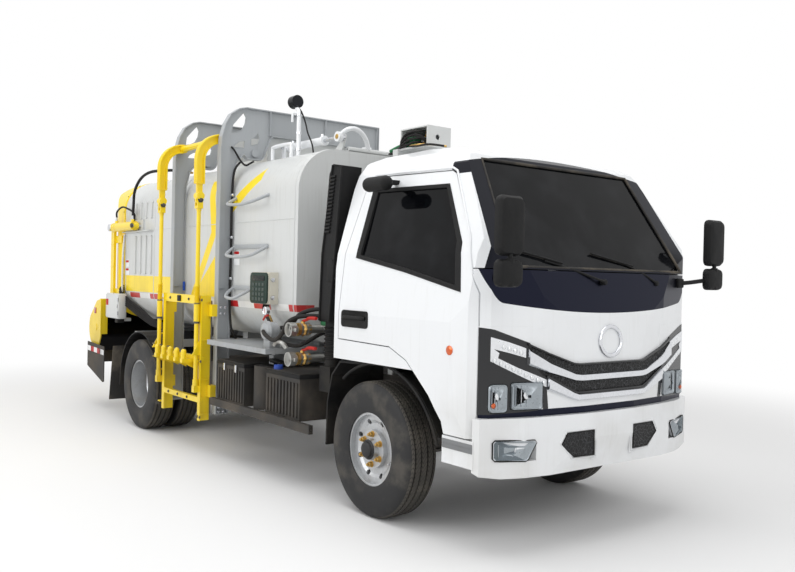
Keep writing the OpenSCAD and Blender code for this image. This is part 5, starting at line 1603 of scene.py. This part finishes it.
def makeLiftHoses():
    # black cable from the front post's plate down to the tank's top, and pipes down the post
    shape = Shape()
    path = [(-2012, -752, 2330), (-1985, -740, 2300), (-1962, -700, 2225), (-1925, -676, 2190),
            (-1880, -664, 2200), (-1860, -640, 2218)]
    shape.hose("cableBlack", path, 8)
    for k in range(2):
        x = -1976 + k * 16
        path = [(x, -700, 2215), (x, -750, 2130), (x, -762, 1900), (x, -762, 1500), (x, -764, 1180),
                (x - 4, -745, 960), (x - 10, -700, 872)]
        shape.hose("cableBlack", path, 6)
    for z in (1960, 1640, 1330):
        shape.box("steelRod", (-1988, -772, z - 10), (-1950, -755, z + 10), 2)
    shape.box("capBlue", (-2830, -770, 1215), (-2818, -752, 1290), 2)
    return shape.piece("liftCables", "truck", "plastic_black")


# rear: door, cylinders, gutter, boxes and underrun

rear = {"cylZ": 1790, "cylY": 807, "barrelPin": -3840, "eye": -4520, "hingeX": -4282, "hingeZ": 2266}


def makeDoorRear():
    shape = Shape()
    # pressed ribs and the seam ring of the domed door, with a hinge pin at each arm
    for side in (-1, 1):
        for z in (1180, 1400, 1620):
            shape.box("paintYellow", (rear["eye"] - 38, side * 760, z),
                      (rear["eye"] + 38, side * 789, z + 8), 2)
        for profile in ([(-44, 0), (-44, 15), (-38, 18), (-38, 0)], [(38, 0), (38, 18), (44, 15), (44, 0)]):
            shape.lathe("castIron", (rear["hingeX"], side * 350, rear["hingeZ"]), "y", profile, 16)
        shape.lathe("castIron", (rear["eye"], side * 800, rear["cylZ"]), "y", [(-10, 0), (-10, 15),
                (26, 15), (30, 11), (30, 0)], 16)
    ring = [(-4292, y, z) for y, z in roundedOutline(-747, 906, 747, 2236, 296, 8)]
    shape.tube("paintYellow", ring, 9, 8, closed=True)
    inner = [(-4288, y, z) for y, z in roundedOutline(-744, 908, 744, 2233, 294, 8)]
    shape.tube("tyreRubber", inner, 5, 6, closed=True)
    shape.piece("doorTrim", "rear_door", "paint_yellow")
    return [(-4296, y * 0.995, z) for y, z in roundedOutline(-752, 901, 752, 2240, 300, 3)]


def makeGutterTrim():
    shape = Shape()
    for side in (-1, 1):
        shape.disc("paintYellow", (-4745, side * 860, 790), "y", 0, side * 4, 34, 24)
        # marker lamp on the end plate
        shape.prism("redLens", "y", roundedOutline(-4800, 930, -4740, 990, 8, 3), side * 858, side * 864, 2)
    for z in (640, 700):
        shape.box("tapeRed", (-4950, -420, z), (-4946, -180, z + 40))
    shape.tube("paintYellow", [(-4668, -850, 1074), (-4668, 850, 1074)], 9, 8)
    for side in (-1, 1):
        shape.box("paintYellow", (-4625, side * 789, 708), (-4613, side * 858, 1078))
    return shape


def makeCylinderTrim(side, word):
    shape = Shape()
    y, z = side * rear["cylY"], rear["cylZ"]
    for x in (-4392, -4330, -3868):
        shape.hoop("paintYellow", (x, y, z), "x", 9, 38, 44, 28)
    profile = [(side * 30, 0), (side * 30, 20), (side * 46, 20), (side * 49, 15), (side * 49, 0)]
    shape.lathe("castIron", (rear["barrelPin"], y, z), "y", profile, 20)
    for x in (-3915, -4350):
        shape.lathe("paintYellow", (x, y, z + 38), "z", [(0, 0), (0, 17), (22, 17), (24, 13), (24, 0)], 12)
        profile = [(0, 0), (0, 13), (16, 13), (16, 9), (46, 9), (46, 0)]
        shape.lathe("steelRod", (x, y, z + 60), "z", profile, 6)
    shape.piece("gateCylinderTrim" + word, "gate_barrel_" + word, "paint_yellow")
    # the long pressure hose bends between the barrel's port and the tank's top; the short one rides along
    arch = [(-3915, y, z + 96), (-3905, y, z + 190), (-3850, side * 818, 2110), (-3720, side * 812, 2215),
            (-3560, side * 790, 2262), (-3390, side * 740, 2268), (-3240, side * 640, 2268),
            (-3180, side * 560, 2262)]
    hose = Shape()
    hose.hose("cableBlack", arch, 13, 10, 7)
    hose.disc("brass", (-3180, side * 560, 2240), "z", 0, 16, 18, 6)
    longHose = hose.piece("gateHose" + word, None, "plastic_black")
    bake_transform(longHose)
    low = [(-4350, y, z + 96), (-4330, side * 812, z + 150), (-4200, side * 806, z + 190),
           (-4050, side * 794, z + 160), (-3960, side * 786, z + 128), (-3915, side * 790, z + 96),
           (-3905, y - side * 12, z + 44)]
    pipe = Shape()
    pipe.hose("cableBlack", low, 9)
    pipe.piece("gatePipe" + word, "gate_barrel_" + word, "plastic_black")


boxes = {"hoses": 5, "flapY": (520, 948), "lampY": (560, 700), "marks": 5, "barMarks": 8, "markPitch": 96}


def makeRearBoxes():
    shape = Shape()
    # grey switch box, the pipes and hoses behind it, marker plates and mud flaps
    shape.box("paintGrey", (-4480, -852, 905), (-4130, -772, 1147), 10)
    shape.box("paintGrey", (-4470, -857, 917), (-4140, -850, 1135), 3)
    for z in (960, 1090):
        shape.disc("steelRod", (-4136, -858, z - 18), "z", 0, 36, 6, 12)
    shape.box("steelRod", (-4150, -862, 1010), (-4142, -856, 1050), 1)
    shape.box("paintGrey", (-4300, -790, 880), (-4200, -700, 910), 3)
    shape.prism("tapeRed", "y", roundedOutline(-4460, 1030, -4400, 1090, 5, 2), -857, -859, 0.5)
    shape.box("plasticBlack", (-4230, -848, 868), (-4160, -780, 906), 4)
    for k in range(boxes["hoses"]):
        z = 1190 - k * 20
        hose = [(-4285, -752, z + 34), (-4240, -800, z - 10), (-4100, -770, z - 90), (-3900, -700, z - 190),
                (-3700, -650, 905 - k * 12), (-3450, -560, 890 - k * 8), (-3200, -480, 880)]
        shape.hose("cableBlack", hose, 9)
    shape.hose("paintGrey", [(-4262, -756, 1720), (-4250, -775, 1500), (-4244, -778, 1160)], 10)
    for side in (-1, 1):
        flap = [(-3981, 664), (-3975, 664), (-4059, 153), (-4065, 153)]
        shape.prism("tyreRubber", "y", flap, side * boxes["flapY"][0], side * boxes["flapY"][1], 1)
        shape.box("castIron", (-3990, side * 500, 640), (-3966, side * 560, 672), 2)
        for k in range(boxes["marks"]):
            x, z, wide = -4890 + k * boxes["markPitch"], 552 - k * 3, boxes["markPitch"]
            mark = [(x, z), (x + wide, z - 3), (x + wide, z + 47), (x, z + 50)]
            shape.prism("tapeRed" if k % 2 else "paintWhite", "y", mark, side * 890, side * 892)
        for y in boxes["lampY"]:
            body = roundedOutline(side * y - 52, 436, side * y + 52, 506, 10, 3)
            middle = roundedOutline(side * y - 16, 440, side * y + 16, 502, 6, 2)
            shape.prism("redLens", "x", body, -4880, -4890, 3)
            shape.prism("orangeLens", "x", middle, -4886, -4893, 2)
    for k in range(boxes["barMarks"]):
        y = -840 + k * 240
        mark = [(y - 60, 424), (y + 60, 424), (y + 60, 434), (y - 60, 434)]
        shape.prism("tapeRed" if k % 2 else "paintWhite", "x", mark, -4880, -4882)
    return shape.piece("rearFittings", "truck", "paint_grey")


under = {"shaft": ((-780, 0, 560), (-1800, 0, 500), (-3090, 0, 430)),
         "joints": ((-1100, 540), (-2600, 462)), "clips": (-3440, -3180, -130, 130),
         "drums": ((-2350, 520, 560, 360, 118), (-2350, -560, 520, 260, 126))}


def makeChassisTrim():
    # drive shaft, brake pots, leaf clips, pipes, silencer and air tank under the frame
    shape = Shape()
    shape.tube("castIron", under["shaft"], 42, 16)
    for x, z in under["joints"]:
        shape.disc("castIron", (x, 0, z), "x", -30, 30, 60, 20)
    for side in (-1, 1):
        shape.lathe("castIron", (-3120, side * 440, 470), "x", [(0, 0), (0, 60), (70, 70), (90, 60),
                (90, 0)], 20)
        for x in under["clips"]:
            shape.tube("castIron", [(x, side * 352, 420), (x, side * 352, 520)], 9, 8)
        for k in range(2):
            y, z = side * (300 - k * 16), 660 + k * 10
            shape.tube("cableBlack", [(-4200, y, z), (-2000, y, z - 8), (700, y, z)], 6, 6)
    for x, y, z, half, radius in under["drums"]:
        edge = radius - (18 if y > 0 else 16)
        profile = [(-half, 0), (-half, edge), (15 - half, radius), (half - 15, radius), (half, edge),
                   (half, 0)]
        shape.lathe("castIron", (x, y, z), "x", profile, 28)
    return shape.piece("chassisTrim", "truck", "cast")


makeFrameTrim()
makeArmTrim()
makeRodTrim()
makeCarriageTrim()
makeLiftHoses()
gateBolts = makeDoorRear()
repeatPart("gateBolts", bolt, gateBolts, "-x", "castIron", "rear_door", 0.8)
makeGutterTrim().piece("gutterTrim", "rear_door", "paint_yellow")
for side, word in ((-1, "right"), (1, "left")):
    makeCylinderTrim(side, word)
makeRearBoxes()
makeChassisTrim()
print("lifter and rear made")
